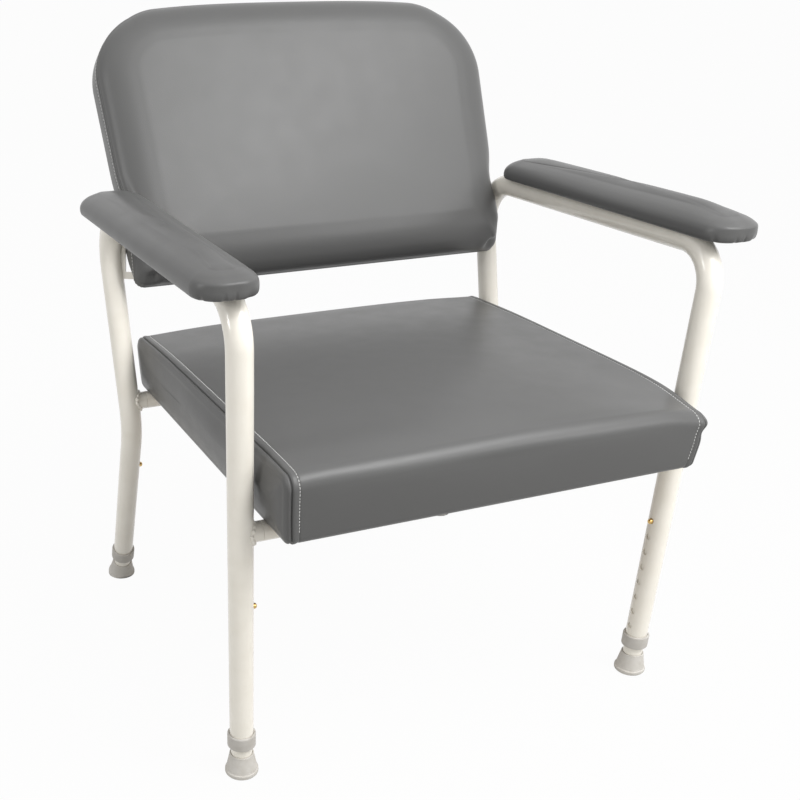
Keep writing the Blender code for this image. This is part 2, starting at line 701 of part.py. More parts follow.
def build_arm(label, side, mats):
    """Arm pad: plywood, foam and a vinyl cover notched round the rail; the screws' heads sit inside the rail."""
    def plan(inset):
        return outline(
            ARM_FRONT_HALF, ARM_REAR_HALF, ARM_FRONT, ARM_REAR, ARM_FRONT_CORNER, ARM_REAR_CORNER, inset)

    def place(u, v, height):
        return (side * (LEG_HALF + ARM_OUT) + u, v, rail_z(v) + TUBE_R + GAP + height)

    board = panel(label + "_arm_board", plan, ARM_BOARD_INSET, 0.0, ARM_BOARD_T, place, mats["ply"], 0.0)
    up = Vector((0.0, 0.0, 1.0))
    spots = [(Vector((side * LEG_HALF, y, ARM_TOP)), up) for y in (ARM_SCREW_FRONT_Y, ARM_SCREW_REAR_Y)]
    cut(board, rods(label + "_arm_board_cutter", spots, SCREW_R + GAP, THROUGH, 8))
    padded_core(label + "_arm_foam", plan, ARM_PROFILE, ARM_BOARD_T + GAP, place, mats["foam"])
    cover = padded_cover(label + "_arm_cover", plan, ARM_PROFILE, place, mats["vinyl"])
    cut(cover, frame_cutter(label + "_notch_cutter", side))
    head = ARM_Z + math.sqrt((TUBE_R - TUBE_WALL) ** 2 - SCREW_HEAD_R ** 2) - GAP
    tip = ARM_TOP + ARM_BOARD_T - EDGE
    for end, y in (("front", ARM_SCREW_FRONT_Y), ("rear", ARM_SCREW_REAR_Y)):
        screw = turned(label + "_arm_screw_" + end, (
            (0.0, head - SCREW_HEAD_H), (SCREW_HEAD_R * 0.65, head - SCREW_HEAD_H * 0.85),
            (SCREW_HEAD_R, head - SCREW_HEAD_H * 0.3), (SCREW_HEAD_R, head), (SCREW_R, head),
            (SCREW_R, tip - EDGE), (0.0, tip)), 8, mats["steel"])
        screw.location = (side * LEG_HALF, y, rail_z(y) - ARM_Z)


for old in list(bpy.data.objects):
    bpy.data.objects.remove(old, do_unlink=True)

materials = {
    "tube": make_material("cream_powder_coat", (0.80, 0.77, 0.69), 0.35),
    "vinyl": make_material("grey_vinyl", (0.16, 0.16, 0.16), 0.45),
    "foam": make_material("seat_foam", (0.72, 0.66, 0.45), 0.95),
    "ply": make_material("birch_ply", (0.52, 0.37, 0.21), 0.70),
    "rubber": make_material("pale_grey_rubber", (0.55, 0.54, 0.51), 0.65),
    "collar": make_material("grey_plastic", (0.52, 0.51, 0.48), 0.50),
    "brass": make_material("brass", (0.62, 0.43, 0.14), 0.30, 1.0),
    "steel": make_material("zinc_steel", (0.60, 0.60, 0.60), 0.40, 1.0),
}

for side_name, sign in (("left", -1), ("right", 1)):
    build_side_frame(side_name + "_side_frame", sign, materials["tube"])
    build_leg("front_" + side_name, sign, FRONT_LEG_Y, 0.0, FRONT_BUTTON_UP, materials)
    build_leg("rear_" + side_name, sign, REAR_FOOT_Y, REAR_TILT, REAR_BUTTON_UP, materials)
    build_arm(side_name, sign, materials)
rear_rail_y = post_y(RAIL_Z)
build_rail("front", FRONT_LEG_Y, Vector((0.0, 0.0, 1.0)), materials)
build_rail("rear", rear_rail_y, POST_DIR, materials)
build_seat((FRONT_LEG_Y, rear_rail_y), materials)
build_back(materials)
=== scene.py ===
import math

import bmesh
import bpy
import numpy as np
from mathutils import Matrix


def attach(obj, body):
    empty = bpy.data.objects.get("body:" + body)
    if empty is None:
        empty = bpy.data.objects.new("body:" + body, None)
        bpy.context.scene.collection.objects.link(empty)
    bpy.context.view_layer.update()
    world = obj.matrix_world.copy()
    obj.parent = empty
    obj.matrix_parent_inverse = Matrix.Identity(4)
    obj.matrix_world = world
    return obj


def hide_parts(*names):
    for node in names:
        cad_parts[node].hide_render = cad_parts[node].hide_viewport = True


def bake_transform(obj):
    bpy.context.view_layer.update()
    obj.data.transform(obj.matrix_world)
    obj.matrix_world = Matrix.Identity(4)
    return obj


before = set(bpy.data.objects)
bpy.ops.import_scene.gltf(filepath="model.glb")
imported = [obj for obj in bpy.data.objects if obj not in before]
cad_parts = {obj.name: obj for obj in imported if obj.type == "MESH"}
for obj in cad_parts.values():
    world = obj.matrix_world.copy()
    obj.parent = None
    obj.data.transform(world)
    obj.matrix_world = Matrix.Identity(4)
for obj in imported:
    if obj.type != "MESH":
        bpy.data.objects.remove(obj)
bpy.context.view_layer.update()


# Side frames. Each is one steel tube, 31.8 mm across, bent on a mandrel: front leg, arm rail, reclined
# post and splayed rear leg in a single run. A row of holes is drilled in the inner side of each leg for
# the height button, and the whole tube is powder coated cream.

SIDES = (("left", -1), ("right", 1))
ENDS = ("front", "rear")
TUBE_R = 0.0159
TUBE_BORE = 0.0147
LEG_X = 0.3205
FRONT_LEG_Y = -0.2880
ARM_Z = 0.6305
ARM_RISE = 0.0069
REAR_TOP_Y = 0.2465
KINK = (0.1634, 0.3212)
REAR_FOOT_Y = 0.2899
TUBE_END = 0.0475
BEND_RADII = (0.054, 0.064, 0.100)
HOLE_R = 0.00425
HOLE_PITCH = 0.025
HOLE_COUNT = 8
HOLE_DEPTH = 0.014
BUTTON_UP = {"front": 0.2566, "rear": 0.2640}
FOOT_Y = {"front": FRONT_LEG_Y, "rear": REAR_FOOT_Y}
REAR_TILT = math.atan2(REAR_FOOT_Y - KINK[0], KINK[1])
LEG_WAY = {
    "front": np.array((0.0, 0.0, 1.0)),
    "rear": np.array((0.0, -math.sin(REAR_TILT), math.cos(REAR_TILT)))}
CREAM = (0.800, 0.765, 0.690)
SMOOTH_ANGLE = 40.0


def full_turn(count):
    """Equal angles once round a circle, the last one step short of the first."""
    return np.linspace(0.0, 2.0 * np.pi, count, endpoint=False)


def unit(ways):
    """Vectors along the last axis, each divided by its own length."""
    return ways / np.linalg.norm(ways, axis=-1, keepdims=True)


def lattice(name, points, finish, ring=False, sharp=SMOOTH_ANGLE):
    """Skin over a grid of points (rows, columns, xyz): a quad between each four neighbours, columns
    closed on themselves. The first and last rows are filled flat, or joined to each other where ring is
    true."""
    rows, columns = points.shape[:2]
    index = np.arange(rows * columns).reshape(rows, columns)
    beside = np.roll(index, -1, axis=1)
    above = np.roll(index, -1, axis=0)
    corner = np.roll(above, -1, axis=1)
    quads = np.stack([index, beside, corner, above], axis=-1)
    faces = (quads if ring else quads[:-1]).reshape(-1, 4).tolist()
    if not ring:
        faces += [index[0, ::-1].tolist(), index[-1].tolist()]
    return skin(name, points.reshape(-1, 3), faces, finish, sharp)


def rods(name, rings, finish=None, sharp=SMOOTH_ANGLE):
    """Many closed rods in one mesh from points (rods, rings, sides, xyz): quads between each ring and the
    next of the same rod, and a flat face at either end."""
    count, levels, sides = rings.shape[:3]
    i = np.arange(sides)
    band = np.stack([i, np.roll(i, -1), np.roll(i, -1) + sides, i + sides], axis=-1)
    starts = levels * sides * np.arange(count)
    steps = sides * np.arange(levels - 1)
    faces = (starts[:, None, None, None] + steps[:, None, None] + band).reshape(-1, 4).tolist()
    faces += (starts[:, None] + i[::-1]).tolist() + (starts[:, None] + i + steps[-1] + sides).tolist()
    return skin(name, rings.reshape(-1, 3), faces, finish, sharp)


def skin(name, points, faces, finish, sharp=SMOOTH_ANGLE):
    """Mesh object from points and faces, faces turned outwards, smooth except across edges above the
    angle."""
    mesh = bpy.data.meshes.new(name)
    mesh.from_pydata(points.tolist(), [], faces)
    outward = bmesh.new()
    outward.from_mesh(mesh)
    bmesh.ops.recalc_face_normals(outward, faces=outward.faces)
    outward.to_mesh(mesh)
    outward.free()
    mesh.shade_smooth()
    mesh.set_sharp_from_angle(angle=math.radians(sharp))
    if finish is not None:
        mesh.materials.append(finish)
    piece = bpy.data.objects.new(name, mesh)
    bpy.context.scene.collection.objects.link(piece)
    return piece


def bent_line(corners, radii, turn_step=3.0):
    """Points and directions along a flat line: straight runs, with an arc of the given radius at each
    inner corner in equal small turns."""
    corners = np.array(corners, float)
    ways = unit(np.diff(corners, axis=0))
    points, heads = [corners[:1]], [ways[:1]]
    for here, into, out, radius in zip(corners[1:-1], ways[:-1], ways[1:], radii):
        turn = math.acos(float(np.clip(into @ out, -1.0, 1.0)))
        side = unit(out - into * (into @ out))
        centre = here - into * radius * math.tan(turn / 2) + side * radius
        a = np.linspace(0.0, turn, int(math.degrees(turn) / turn_step) + 2)[:, None]
        points.append(centre - side * radius * np.cos(a) + into * radius * np.sin(a))
        heads.append(into * np.cos(a) + side * np.sin(a))
    return np.concatenate(points + [corners[-1:]]), np.concatenate(heads + [ways[-1:]])


def tube_wall(x, line, heads, outer, bore, sides=48):
    """Tube along a flat (y, z) line at x: a circle of the outer radius carried along it, then back inside
    at the bore's radius, so that the wall closes on itself."""
    around = full_turn(sides)
    normal = np.stack([-heads[:, 1], heads[:, 0]], axis=1)
    walls = []
    for radius, order in ((outer, slice(None)), (bore, slice(None, None, -1))):
        flat = line[order][:, None] + radius * np.sin(around)[None, :, None] * normal[order][:, None]
        across = np.broadcast_to(x + radius * np.cos(around), flat.shape[:2])
        walls.append(np.concatenate([across[..., None], flat], axis=-1))
    return np.concatenate(walls)


def drill(piece, spots, way, radius, depth, sides=28):
    """Round holes: a rod at each spot along one direction, taken out of the piece by a Boolean that is
    then applied."""
    way = np.array(way, float)
    first = unit(np.cross(way, (0.3, 0.5, 0.8)))
    second = np.cross(way, first)
    around = full_turn(sides)[:, None]
    circle = radius * (np.cos(around) * first + np.sin(around) * second)
    ends = np.array((-0.5, 0.5))[:, None, None] * depth * way + circle
    cutters = rods("hole_rods", np.asarray(spots)[:, None, None, :] + ends)
    cut = piece.modifiers.new("Holes", "BOOLEAN")
    cut.operation = "DIFFERENCE"
    cut.solver = "EXACT"
    cut.object = cutters
    whole = piece.data
    drilled = bpy.data.meshes.new_from_object(piece.evaluated_get(bpy.context.evaluated_depsgraph_get()))
    piece.modifiers.clear()
    piece.data = drilled
    drilled.shade_smooth()
    drilled.set_sharp_from_angle(angle=math.radians(SMOOTH_ANGLE))
    bpy.data.meshes.remove(whole)
    bpy.data.objects.remove(cutters)


def new_finish(name, colour, roughness, metallic=0.0):
    """Principled material with its node tree and an Object coordinate to hang patterns on."""
    mat = bpy.data.materials.new(name)
    mat.use_nodes = True
    tree = mat.node_tree
    shader = tree.nodes["Principled BSDF"]
    shader.inputs["Base Color"].default_value = (*colour, 1.0)
    shader.inputs["Roughness"].default_value = roughness
    shader.inputs["Metallic"].default_value = metallic
    place = tree.nodes.new("ShaderNodeTexCoord").outputs["Object"]
    return mat, tree, shader, place


def add_node(tree, kind, **sockets):
    """New shader node of a kind: each named input is linked where an output is given and set where a
    value is. An underscore in the name of an input stands for a space."""
    node = tree.nodes.new(kind)
    for name, given in sockets.items():
        entry = node.inputs[name.replace("_", " ")]
        if isinstance(given, bpy.types.NodeSocket):
            tree.links.new(given, entry)
        else:
            entry.default_value = given
    return node


def cloud(tree, place, scale, detail=2.0, roughness=0.5):
    """Noise of a given number of lumps per metre."""
    node = add_node(tree, "ShaderNodeTexNoise", Vector=place, Scale=scale, Detail=detail,
                    Roughness=roughness)
    return node.outputs["Fac"]


def ramp(tree, value, low, high, start, end):
    """Value between low and high carried to the range start to end."""
    node = add_node(tree, "ShaderNodeMapRange", Value=value, From_Min=low, From_Max=high, To_Min=start,
                    To_Max=end)
    return node.outputs["Result"]


def tint(tree, shader, colour, value, low, high, shade):
    """Base colour that goes from the colour to the colour times shade as the value goes from low to
    high."""
    node = tree.nodes.new("ShaderNodeMix")
    node.data_type = "RGBA"
    node.inputs["A"].default_value = (*colour, 1.0)
    node.inputs["B"].default_value = (*(c * s for c, s in zip(colour, shade)), 1.0)
    tree.links.new(ramp(tree, value, low, high, 0.0, 1.0), node.inputs["Factor"])
    tree.links.new(node.outputs["Result"], shader.inputs["Base Color"])


def relief(tree, shader, value, strength, depth, under=None):
    """Bump from a value, laid over an earlier bump where one is given."""
    node = add_node(tree, "ShaderNodeBump", Strength=strength, Distance=depth, Height=value)
    if under is not None:
        tree.links.new(under, node.inputs["Normal"])
    tree.links.new(node.outputs["Normal"], shader.inputs["Normal"])
    return node.outputs["Normal"]


def powder_coat(name, colour, roughness):
    """Baked powder: orange peel of about 2 mm under a clear gloss, and a faint uneven tone from
    handling."""
    mat, tree, shader, place = new_finish(name, colour, roughness)
    shader.inputs["Coat Weight"].default_value = 0.6
    shader.inputs["Coat Roughness"].default_value = 0.07
    tint(tree, shader, colour, cloud(tree, place, 34.0, 4.0), 0.40, 0.75, (0.955, 0.950, 0.935))
    peel = relief(tree, shader, cloud(tree, place, 480.0, 1.0), 0.10, 0.0006)
    relief(tree, shader, cloud(tree, place, 1900.0, 2.0), 0.05, 0.0003, peel)
    tree.links.new(ramp(tree, cloud(tree, place, 60.0, 3.0), 0.3, 0.7, roughness - 0.04, roughness + 0.07),
                   shader.inputs["Roughness"])
    return mat


cream = powder_coat("cream powder coat", CREAM, 0.34)

rear_end = np.array((REAR_FOOT_Y, 0.0)) + LEG_WAY["rear"][1:] * TUBE_END
side_corners = (
    (FRONT_LEG_Y, TUBE_END), (FRONT_LEG_Y, ARM_Z + ARM_RISE), (REAR_TOP_Y, ARM_Z), KINK, rear_end)
side_line, side_heads = bent_line(side_corners, BEND_RADII)
for label, side in SIDES:
    wall = tube_wall(side * LEG_X, side_line, side_heads, TUBE_R, TUBE_BORE)
    tube = lattice(label + "_frame_tube", wall, cream, True)
    inner_x = side * (LEG_X - TUBE_R)
    spots = [
        np.array((inner_x, FOOT_Y[end], 0.0)) + LEG_WAY[end] * (BUTTON_UP[end] - k * HOLE_PITCH)
        for end in ENDS for k in range(HOLE_COUNT)]
    drill(tube, spots, (1.0, 0.0, 0.0), HOLE_R, HOLE_DEPTH)
    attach(tube, "frame")
    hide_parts(label + "_side_frame")


# Leg extensions. A thinner tube slides in each leg on a moulded collar bush and stands on a rubber
# ferrule; a brass button on a leaf spring inside it snaps into one of the leg's holes. The rear ones
# follow the splay of their legs.

EXT_R = 0.0143
EXT_BORE = 0.0128
EXT_START = 0.0125
EXT_OVER_BUTTON = 0.024
SPRING_FRONT = 0.0093
SPRING_HALF = 0.0038
SPRING_THIN = 0.0004
SPRING_CLEAR = 0.0006
SPRING_REAR = SPRING_THIN - math.sqrt((EXT_BORE - SPRING_CLEAR) ** 2 - SPRING_HALF ** 2)
SPRING_TOP = 0.0050
FOLD_R = 0.0040
FOLD_BACK = 0.0016
FOLD_DOWN = 0.030
BRASS = (0.640, 0.440, 0.170)
ZINC = (0.560, 0.570, 0.580)


def turned(profile, way, sides=56):
    """Body turned about an axis through the origin: a closed line of (radius, height) spun round the
    direction way."""
    way = np.array(way, float)
    first = unit(np.cross(way, (0.0, 1.0, 0.0) if abs(way[1]) < 0.9 else (1.0, 0.0, 0.0)))
    second = np.cross(way, first)
    around = full_turn(sides)[:, None]
    spokes = np.cos(around) * first + np.sin(around) * second
    profile = np.array(profile, float)
    return profile[:, None, :1] * spokes + profile[:, None, 1:] * way


def eased(points, rounding, steps=5):
    """Open line with its inner corners rounded off: each corner becomes a quadratic curve that starts and
    ends at the rounding distance from it, or at 0.45 of the shorter side."""
    points = np.array(points, float)
    before, here, after = points[:-2], points[1:-1], points[2:]
    to_before = np.linalg.norm(before - here, axis=1)[:, None]
    to_after = np.linalg.norm(after - here, axis=1)[:, None]
    reach = np.minimum(rounding, 0.45 * np.minimum(to_before, to_after))
    first = here + (before - here) / to_before * reach
    last = here + (after - here) / to_after * reach
    t = np.linspace(0.0, 1.0, steps)[None, :, None]
    bends = (1 - t) ** 2 * first[:, None] + 2 * t * (1 - t) * here[:, None] + t ** 2 * last[:, None]
    return np.concatenate([points[:1], bends.reshape(-1, 2), points[-1:]])


def moulding(name, colour, roughness, grain):
    """Moulded rubber or plastic: fine spark-eroded grain, a little grime in the tone, no clear gloss."""
    mat, tree, shader, place = new_finish(name, colour, roughness)
    tint(tree, shader, colour, cloud(tree, place, 90.0, 5.0), 0.42, 0.72, (0.90, 0.89, 0.87))
    fine = relief(tree, shader, cloud(tree, place, 1500.0, 2.0), grain, 0.0004)
    relief(tree, shader, cloud(tree, place, 260.0, 2.0), grain * 0.5, 0.0006, fine)
    tree.links.new(ramp(tree, cloud(tree, place, 140.0, 3.0), 0.3, 0.7, roughness - 0.05, roughness + 0.08),
                   shader.inputs["Roughness"])
    return mat


def bare_finish(name, colour, roughness, metallic, tone, shade, grain):
    """Bare metal or yarn: the colour clouds over to a shade of itself and a fine grain stands on it. Tone
    is lumps per metre, detail and the noise's low and high; grain is lumps per metre, detail, strength,
    depth."""
    mat, tree, shader, place = new_finish(name, colour, roughness, metallic)
    tint(tree, shader, colour, cloud(tree, place, *tone[:2]), *tone[2:], shade)
    relief(tree, shader, cloud(tree, place, *grain[:2]), *grain[2:])
    return mat


collar_plastic = moulding("grey collar plastic", (0.470, 0.450, 0.420), 0.50, 0.06)
ferrule_rubber = moulding("pale grey rubber", (0.540, 0.520, 0.485), 0.60, 0.10)
brass = bare_finish("button brass", BRASS, 0.30, 1.0, (700.0, 3.0, 0.40, 0.70), (0.72, 0.66, 0.60),
                    (2600.0, 2.0, 0.08, 0.0002))
zinc = bare_finish("zinc plated steel", ZINC, 0.34, 1.0, (220.0, 4.0, 0.35, 0.70), (0.80, 0.80, 0.79),
                   (1400.0, 2.0, 0.06, 0.0002))

collar_line = eased((
    (0.0162, 0.0475), (0.0162, 0.0655), (0.0178, 0.0655), (0.0190, 0.0640), (0.0190, 0.0458),
    (0.0180, 0.0450), (0.0147, 0.0450), (0.0147, 0.0475)), 0.0010)
ferrule_line = eased((
    (0.0003, 0.0120), (0.0147, 0.0120), (0.0147, 0.0316), (0.0156, 0.0318), (0.0164, 0.0310),
    (0.0166, 0.0294), (0.0211, 0.0068), (0.0222, 0.0061), (0.0226, 0.0050), (0.0226, 0.0012),
    (0.0216, 0.0)), 0.0012)
button_line = eased((
    (0.0002, 0.0100), (0.0048, 0.0100), (0.0048, 0.0111), (0.0039, 0.0111), (0.0039, 0.0178),
    (0.0033, 0.0197), (0.0018, 0.0207), (0.0002, 0.0209)), 0.0014, 7)
# The rear sole is turned past the floor and then drawn back up its slanting axis, so that it lies flat.
sole_line = {"front": ((0.0003, 0.0),), "rear": ((0.0224, -0.013), (0.0003, -0.013))}

# The leaf spring is a steel strip bent back on itself; its front arm follows the button, the rest stays
# in the leg.
fold_turn = np.linspace(0.0, np.pi, 13)
fold_in = (SPRING_FRONT + SPRING_REAR) / 2 - FOLD_BACK + FOLD_R * np.cos(fold_turn)
fold_up = -FOLD_DOWN - FOLD_R * np.sin(fold_turn)
spring_line = eased(np.concatenate([
    ((SPRING_FRONT, SPRING_TOP), (SPRING_FRONT, -SPRING_TOP), (0.0063, -0.0180)),
    np.stack([fold_in, fold_up], axis=1),
    ((SPRING_REAR, -0.0135), (SPRING_REAR, SPRING_TOP))]), 0.0030)
spring_rim = np.array((
    (-SPRING_HALF, -0.00025), (-0.00365, -SPRING_THIN), (0.00365, -SPRING_THIN), (SPRING_HALF, -0.00025),
    (SPRING_HALF, 0.00025), (0.00365, SPRING_THIN), (-0.00365, SPRING_THIN), (-SPRING_HALF, 0.00025)))


def strip(line, rim, inward, way):
    """A flat strip bent along a line in the plane of two directions: at each point of the line the rim is
    set square to it, its first number across the strip and its second along the line's own normal."""
    along = unit(np.gradient(line, axis=0))
    flat = line[:, None] + rim[None, :, 1:] * np.stack([-along[:, 1], along[:, 0]], axis=1)[:, None]
    return flat[..., :1] * inward + flat[..., 1:] * way + rim[None, :, :1] * np.cross(way, inward)


for end in ENDS:
    way = LEG_WAY[end]
    extension_top = BUTTON_UP[end] + EXT_OVER_BUTTON
    extension_line = (
        (EXT_R, EXT_START), (EXT_R, extension_top - 0.001), (EXT_R - 0.0006, extension_top),
        (EXT_BORE, extension_top), (EXT_BORE, EXT_START))
    for label, side in SIDES:
        corner = end + "_" + label
        foot_point = np.array((side * LEG_X, FOOT_Y[end], 0.0))
        middle = foot_point + way * BUTTON_UP[end]
        inward = np.array((-float(side), 0.0, 0.0))

        bush = turned(collar_line, way) + foot_point
        collar = lattice(corner + "_collar_bush", bush, collar_plastic, True)
        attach(collar, "frame")
        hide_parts(corner + "_collar")

        sleeve = turned(extension_line, way) + foot_point
        extension = lattice(corner + "_extension_tube", sleeve, cream, True)
        drill(extension, [middle + inward * EXT_R], (1.0, 0.0, 0.0), HOLE_R, HOLE_DEPTH)
        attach(extension, corner + "_leg")
        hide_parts(corner + "_leg")

        rubber = turned(np.concatenate([ferrule_line, sole_line[end]]), way) + foot_point
        rubber = rubber + np.maximum(-rubber[..., 2:], 0.0) / way[2] * way
        ferrule = lattice(corner + "_ferrule", rubber, ferrule_rubber)
        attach(ferrule, corner + "_leg")
        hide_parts(corner + "_foot")

        button = lattice(corner + "_snap_button", turned(button_line, inward, 40) + middle, brass)
        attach(button, corner + "_button")
        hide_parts(corner + "_button")

        leaf = lattice(corner + "_leaf_spring", strip(spring_line, spring_rim, inward, way) + middle, zinc)
        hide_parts(corner + "_spring")
        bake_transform(leaf)


# Cross rails. Two 25.4 mm tubes carry the seat, each butted on short coped stubs that are welded to the
# legs; the seams show as fine rings and the welds as lumpy beads. Bolts pass up through the rails into
# the seat's board.

RAIL_R = 0.0127
RAIL_BORE = 0.0112
RAIL_Z = 0.3599
RAIL_SEAM = 0.2951
SEAM_GAP = 0.0003
RAIL_CHAMFER = 0.0006
SPIGOT_R = RAIL_BORE - 0.0003
SPIGOT_BORE = RAIL_BORE - 0.0018
SPIGOT_END = RAIL_SEAM - 0.025
STUB_BITE = 0.0006
BEAD_R = RAIL_R + 0.0006
BEAD_LIFT = 0.0002
RAIL_BEAD = 0.0027
RAIL_LUMPS = 15
SOFT_ANGLE = 80.0
POST_WAY = unit(np.array((0.0, REAR_TOP_Y - KINK[0], ARM_Z - KINK[1])))
RAIL_Y = {"front": FRONT_LEG_Y, "rear": KINK[0] + POST_WAY[1] / POST_WAY[2] * (RAIL_Z - KINK[1])}


def saddle(angle, radius, way):
    """Inward distance from the leg's axis to its surface, where a rod of the given radius along x meets
    it: the leg's radius as seen at the rod's offset across the leg's direction."""
    offset = radius * (np.cos(angle) * way[2] - np.sin(angle) * way[1])
    return np.sqrt(TUBE_R ** 2 - offset ** 2)


def hoop(x, radius, angle):
    """Circle about the x axis at x: the radius turned through the angles."""
    return np.stack(np.broadcast_arrays(x, radius * np.cos(angle), radius * np.sin(angle)), axis=-1)


def stub_wall(radius, start, side, way):
    """Wall of a stub: circles about the rail's axis from the start to the leg's surface, which it bites
    into."""
    leg_side = LEG_X - saddle(spin, radius, way) + STUB_BITE
    return hoop(side * (start + (leg_side - start) * np.linspace(0.0, 1.0, 9)[:, None]), radius, spin)


def bead(line, thick, lumps, sides=12):
    """Weld bead along a closed line of points: a small circle carried round it, swelling and thinning
    lump by lump."""
    ahead = unit(np.roll(line, -1, axis=0) - np.roll(line, 1, axis=0))
    first = unit(np.cross(ahead, (1.0, 0.0, 0.0)))
    second = np.cross(ahead, first)
    t = full_turn(len(line))
    swell = thick * (1.0 + 0.16 * np.sin(lumps * t) + 0.10 * np.sin((lumps // 2 + 3) * t + 1.3))
    around = full_turn(sides)[None, :, None]
    spokes = np.cos(around) * first[:, None] + np.sin(around) * second[:, None]
    return line[:, None] + swell[:, None, None] * spokes


def show_as(node, finish):
    """A solid of the CAD frame kept as it is, in a finish of this scene."""
    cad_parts[node].data.materials.clear()
    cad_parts[node].data.materials.append(finish)


spin = full_turn(72)
fine_spin = full_turn(220)
half = RAIL_SEAM - SEAM_GAP
rail_line = eased((
    (RAIL_BORE, half), (RAIL_R - RAIL_CHAMFER, half), (RAIL_R, half - RAIL_CHAMFER),
    (RAIL_R, -half + RAIL_CHAMFER), (RAIL_R - RAIL_CHAMFER, -half), (RAIL_BORE, -half)), 0.0005)
for end in ENDS:
    way = LEG_WAY["front"] if end == "front" else POST_WAY
    middle = np.array((0.0, RAIL_Y[end], RAIL_Z))
    rail = lattice(end + "_cross_rail", turned(rail_line, (1.0, 0.0, 0.0)) + middle, cream, True)
    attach(rail, "frame")
    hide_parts(end + "_rail")
    for label, side in SIDES:
        corner = end + "_" + label
        outer = stub_wall(RAIL_R, RAIL_SEAM, side, way)
        inner = stub_wall(SPIGOT_BORE, SPIGOT_END, side, way)
        tip = hoop(side * SPIGOT_END, SPIGOT_R, spin)
        neck = hoop(side * RAIL_SEAM, SPIGOT_R, spin)
        rings = np.concatenate([outer, inner[::-1], tip[None], neck[None]]) + middle
        stub = lattice(corner + "_rail_stub", rings, cream, True)
        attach(stub, "frame")
        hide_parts(corner + "_stub")

        bead_x = side * (LEG_X - saddle(fine_spin, BEAD_R, way) - BEAD_LIFT)
        lumpy = bead(hoop(bead_x, BEAD_R, fine_spin) + middle, RAIL_BEAD, RAIL_LUMPS)
        weld = lattice(corner + "_rail_weld", lumpy, cream, True, SOFT_ANGLE)
        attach(weld, "frame")

        show_as(corner + "_seat_bolt", zinc)


# Seat. A box cushion: one vinyl panel runs up the front, over the top and down the rear, and a flat side
# panel is sewn to it at either end with a topstitch beside the seam; foam on a birch board fills it from
# below.

SEAT_HALF = 0.2995
SEAT_CORNERS = ((-0.3625, 0.3729), (0.1965, 0.3729), (0.2025, 0.4592), (-0.3692, 0.4642))
SEAT_RADII = (0.012, 0.012, 0.022, 0.017)
SEAT_FRONT = -0.3692
SEAT_REAR = 0.2025
SEAT_TOP = 0.4612
SEAT_TALL = 0.0883
SEAT_CROWN = 0.0088
CROWN_MIDDLE = -0.083
CROWN_REACH = 0.280
CROWN_POWER = 2.2
FRONT_SWELL = 0.0008
REAR_SWELL = 0.0015
REAR_SAG = (0.0042, 0.075, 0.090)
LEFT_SAG = (0.0020, 0.036, 0.036)
RIGHT_SAG = (0.0070, 0.090)
CORNER_SAG = (0.0100, 0.050, 0.055)
EAR_OUT = 0.0022
EAR_AHEAD = 0.0010
SEAT_FILL = 0.0030
SEAT_HELD_BELOW = 0.3770
SEAT_STITCH = (0.0043, 0.0031, 0.00066)
SIDE_INSET = 0.038
EDGE_ROLL = 0.010
ROLL_FROM = 11
ROLL_TO = 100
SIDE_SWELL = 0.0040
SIDE_DRAW = 0.0130
RIGHT_DRAW = 0.0040
LEFT_SHIFT = 0.0022
BOARD_MARGIN = 0.020
BOARD_SINK = 0.0014
SEAM_TURN = math.radians(74.0)
SEAM_DEEP = 0.0022
SEAM_WIDE = 0.0011
SEAT_LIPS = ((-0.0042, 0.0026, 0.0007), (0.0040, 0.0026, 0.0008))
SEAT_DENT = (0.0010, 0.0006)
STITCH_BESIDE = 0.0094
STITCH_ANGLE = 60.0
CLOTH_FRAMES = 20
CLOTH_PRESSURE = 4.0
SMOOTH_PASSES = 6
GREY = (0.099, 0.099, 0.098)
THREAD = (0.560, 0.560, 0.550)
BIRCH = (0.560, 0.400, 0.230)


def rounded_loop(corners, radii, insets, arcs, runs, least=0.004):
    """Closed lines round a convex outline, one for each inset: every side moves in by the inset, and
    every corner is an arc of its radius less the inset, whose centre lies where the moved sides meet one
    radius further in."""
    corners = np.array(corners, float)
    insets = np.asarray(insets, float)
    edges = unit(np.roll(corners, -1, axis=0) - corners)
    inward = np.stack([-edges[:, 1], edges[:, 0]], axis=1)
    pieces, starts, stops = [], [], []
    for k, radius in enumerate(radii):
        before, after = inward[k - 1], inward[k]
        meet = np.linalg.solve(np.stack([before, after]), np.ones(2))
        r = np.maximum(radius - insets, least)
        centre = corners[k] + (insets + r)[:, None] * meet
        begin = math.atan2(-before[1], -before[0])
        turn = (math.atan2(-after[1], -after[0]) - begin) % (2.0 * math.pi)
        a = begin + turn * np.linspace(0.0, 1.0, arcs[k])
        arc = centre[:, None] + r[:, None, None] * np.stack([np.cos(a), np.sin(a)], axis=-1)
        pieces.append(arc)
        starts.append(arc[:, :1])
        stops.append(arc[:, -1:])
    loop = []
    for k, count in enumerate(runs):
        t = np.linspace(0.0, 1.0, count + 2)[1:-1]
        t = (t - 0.55 * np.sin(2.0 * np.pi * t) / (2.0 * np.pi))[None, :, None]
        loop += [pieces[k], stops[k] + (starts[(k + 1) % len(runs)] - stops[k]) * t]
    return np.concatenate(loop, axis=1)


def outline_share(corners, radii, arcs, runs):
    """Distance round an outline as a share of the whole, from 0 to just under 1, at each point of its
    line."""
    loop = rounded_loop(corners, radii, np.zeros(1), arcs, runs)[0]
    steps = np.linalg.norm(np.roll(loop, -1, axis=0) - loop, axis=1)
    return np.concatenate([[0.0], np.cumsum(steps)[:-1]]) / steps.sum()


def distance_along(line):
    """Distance from a line's start to each of its points, summed over the straight steps between them."""
    return np.concatenate([[0.0], np.cumsum(np.linalg.norm(np.diff(line, axis=0), axis=1))])


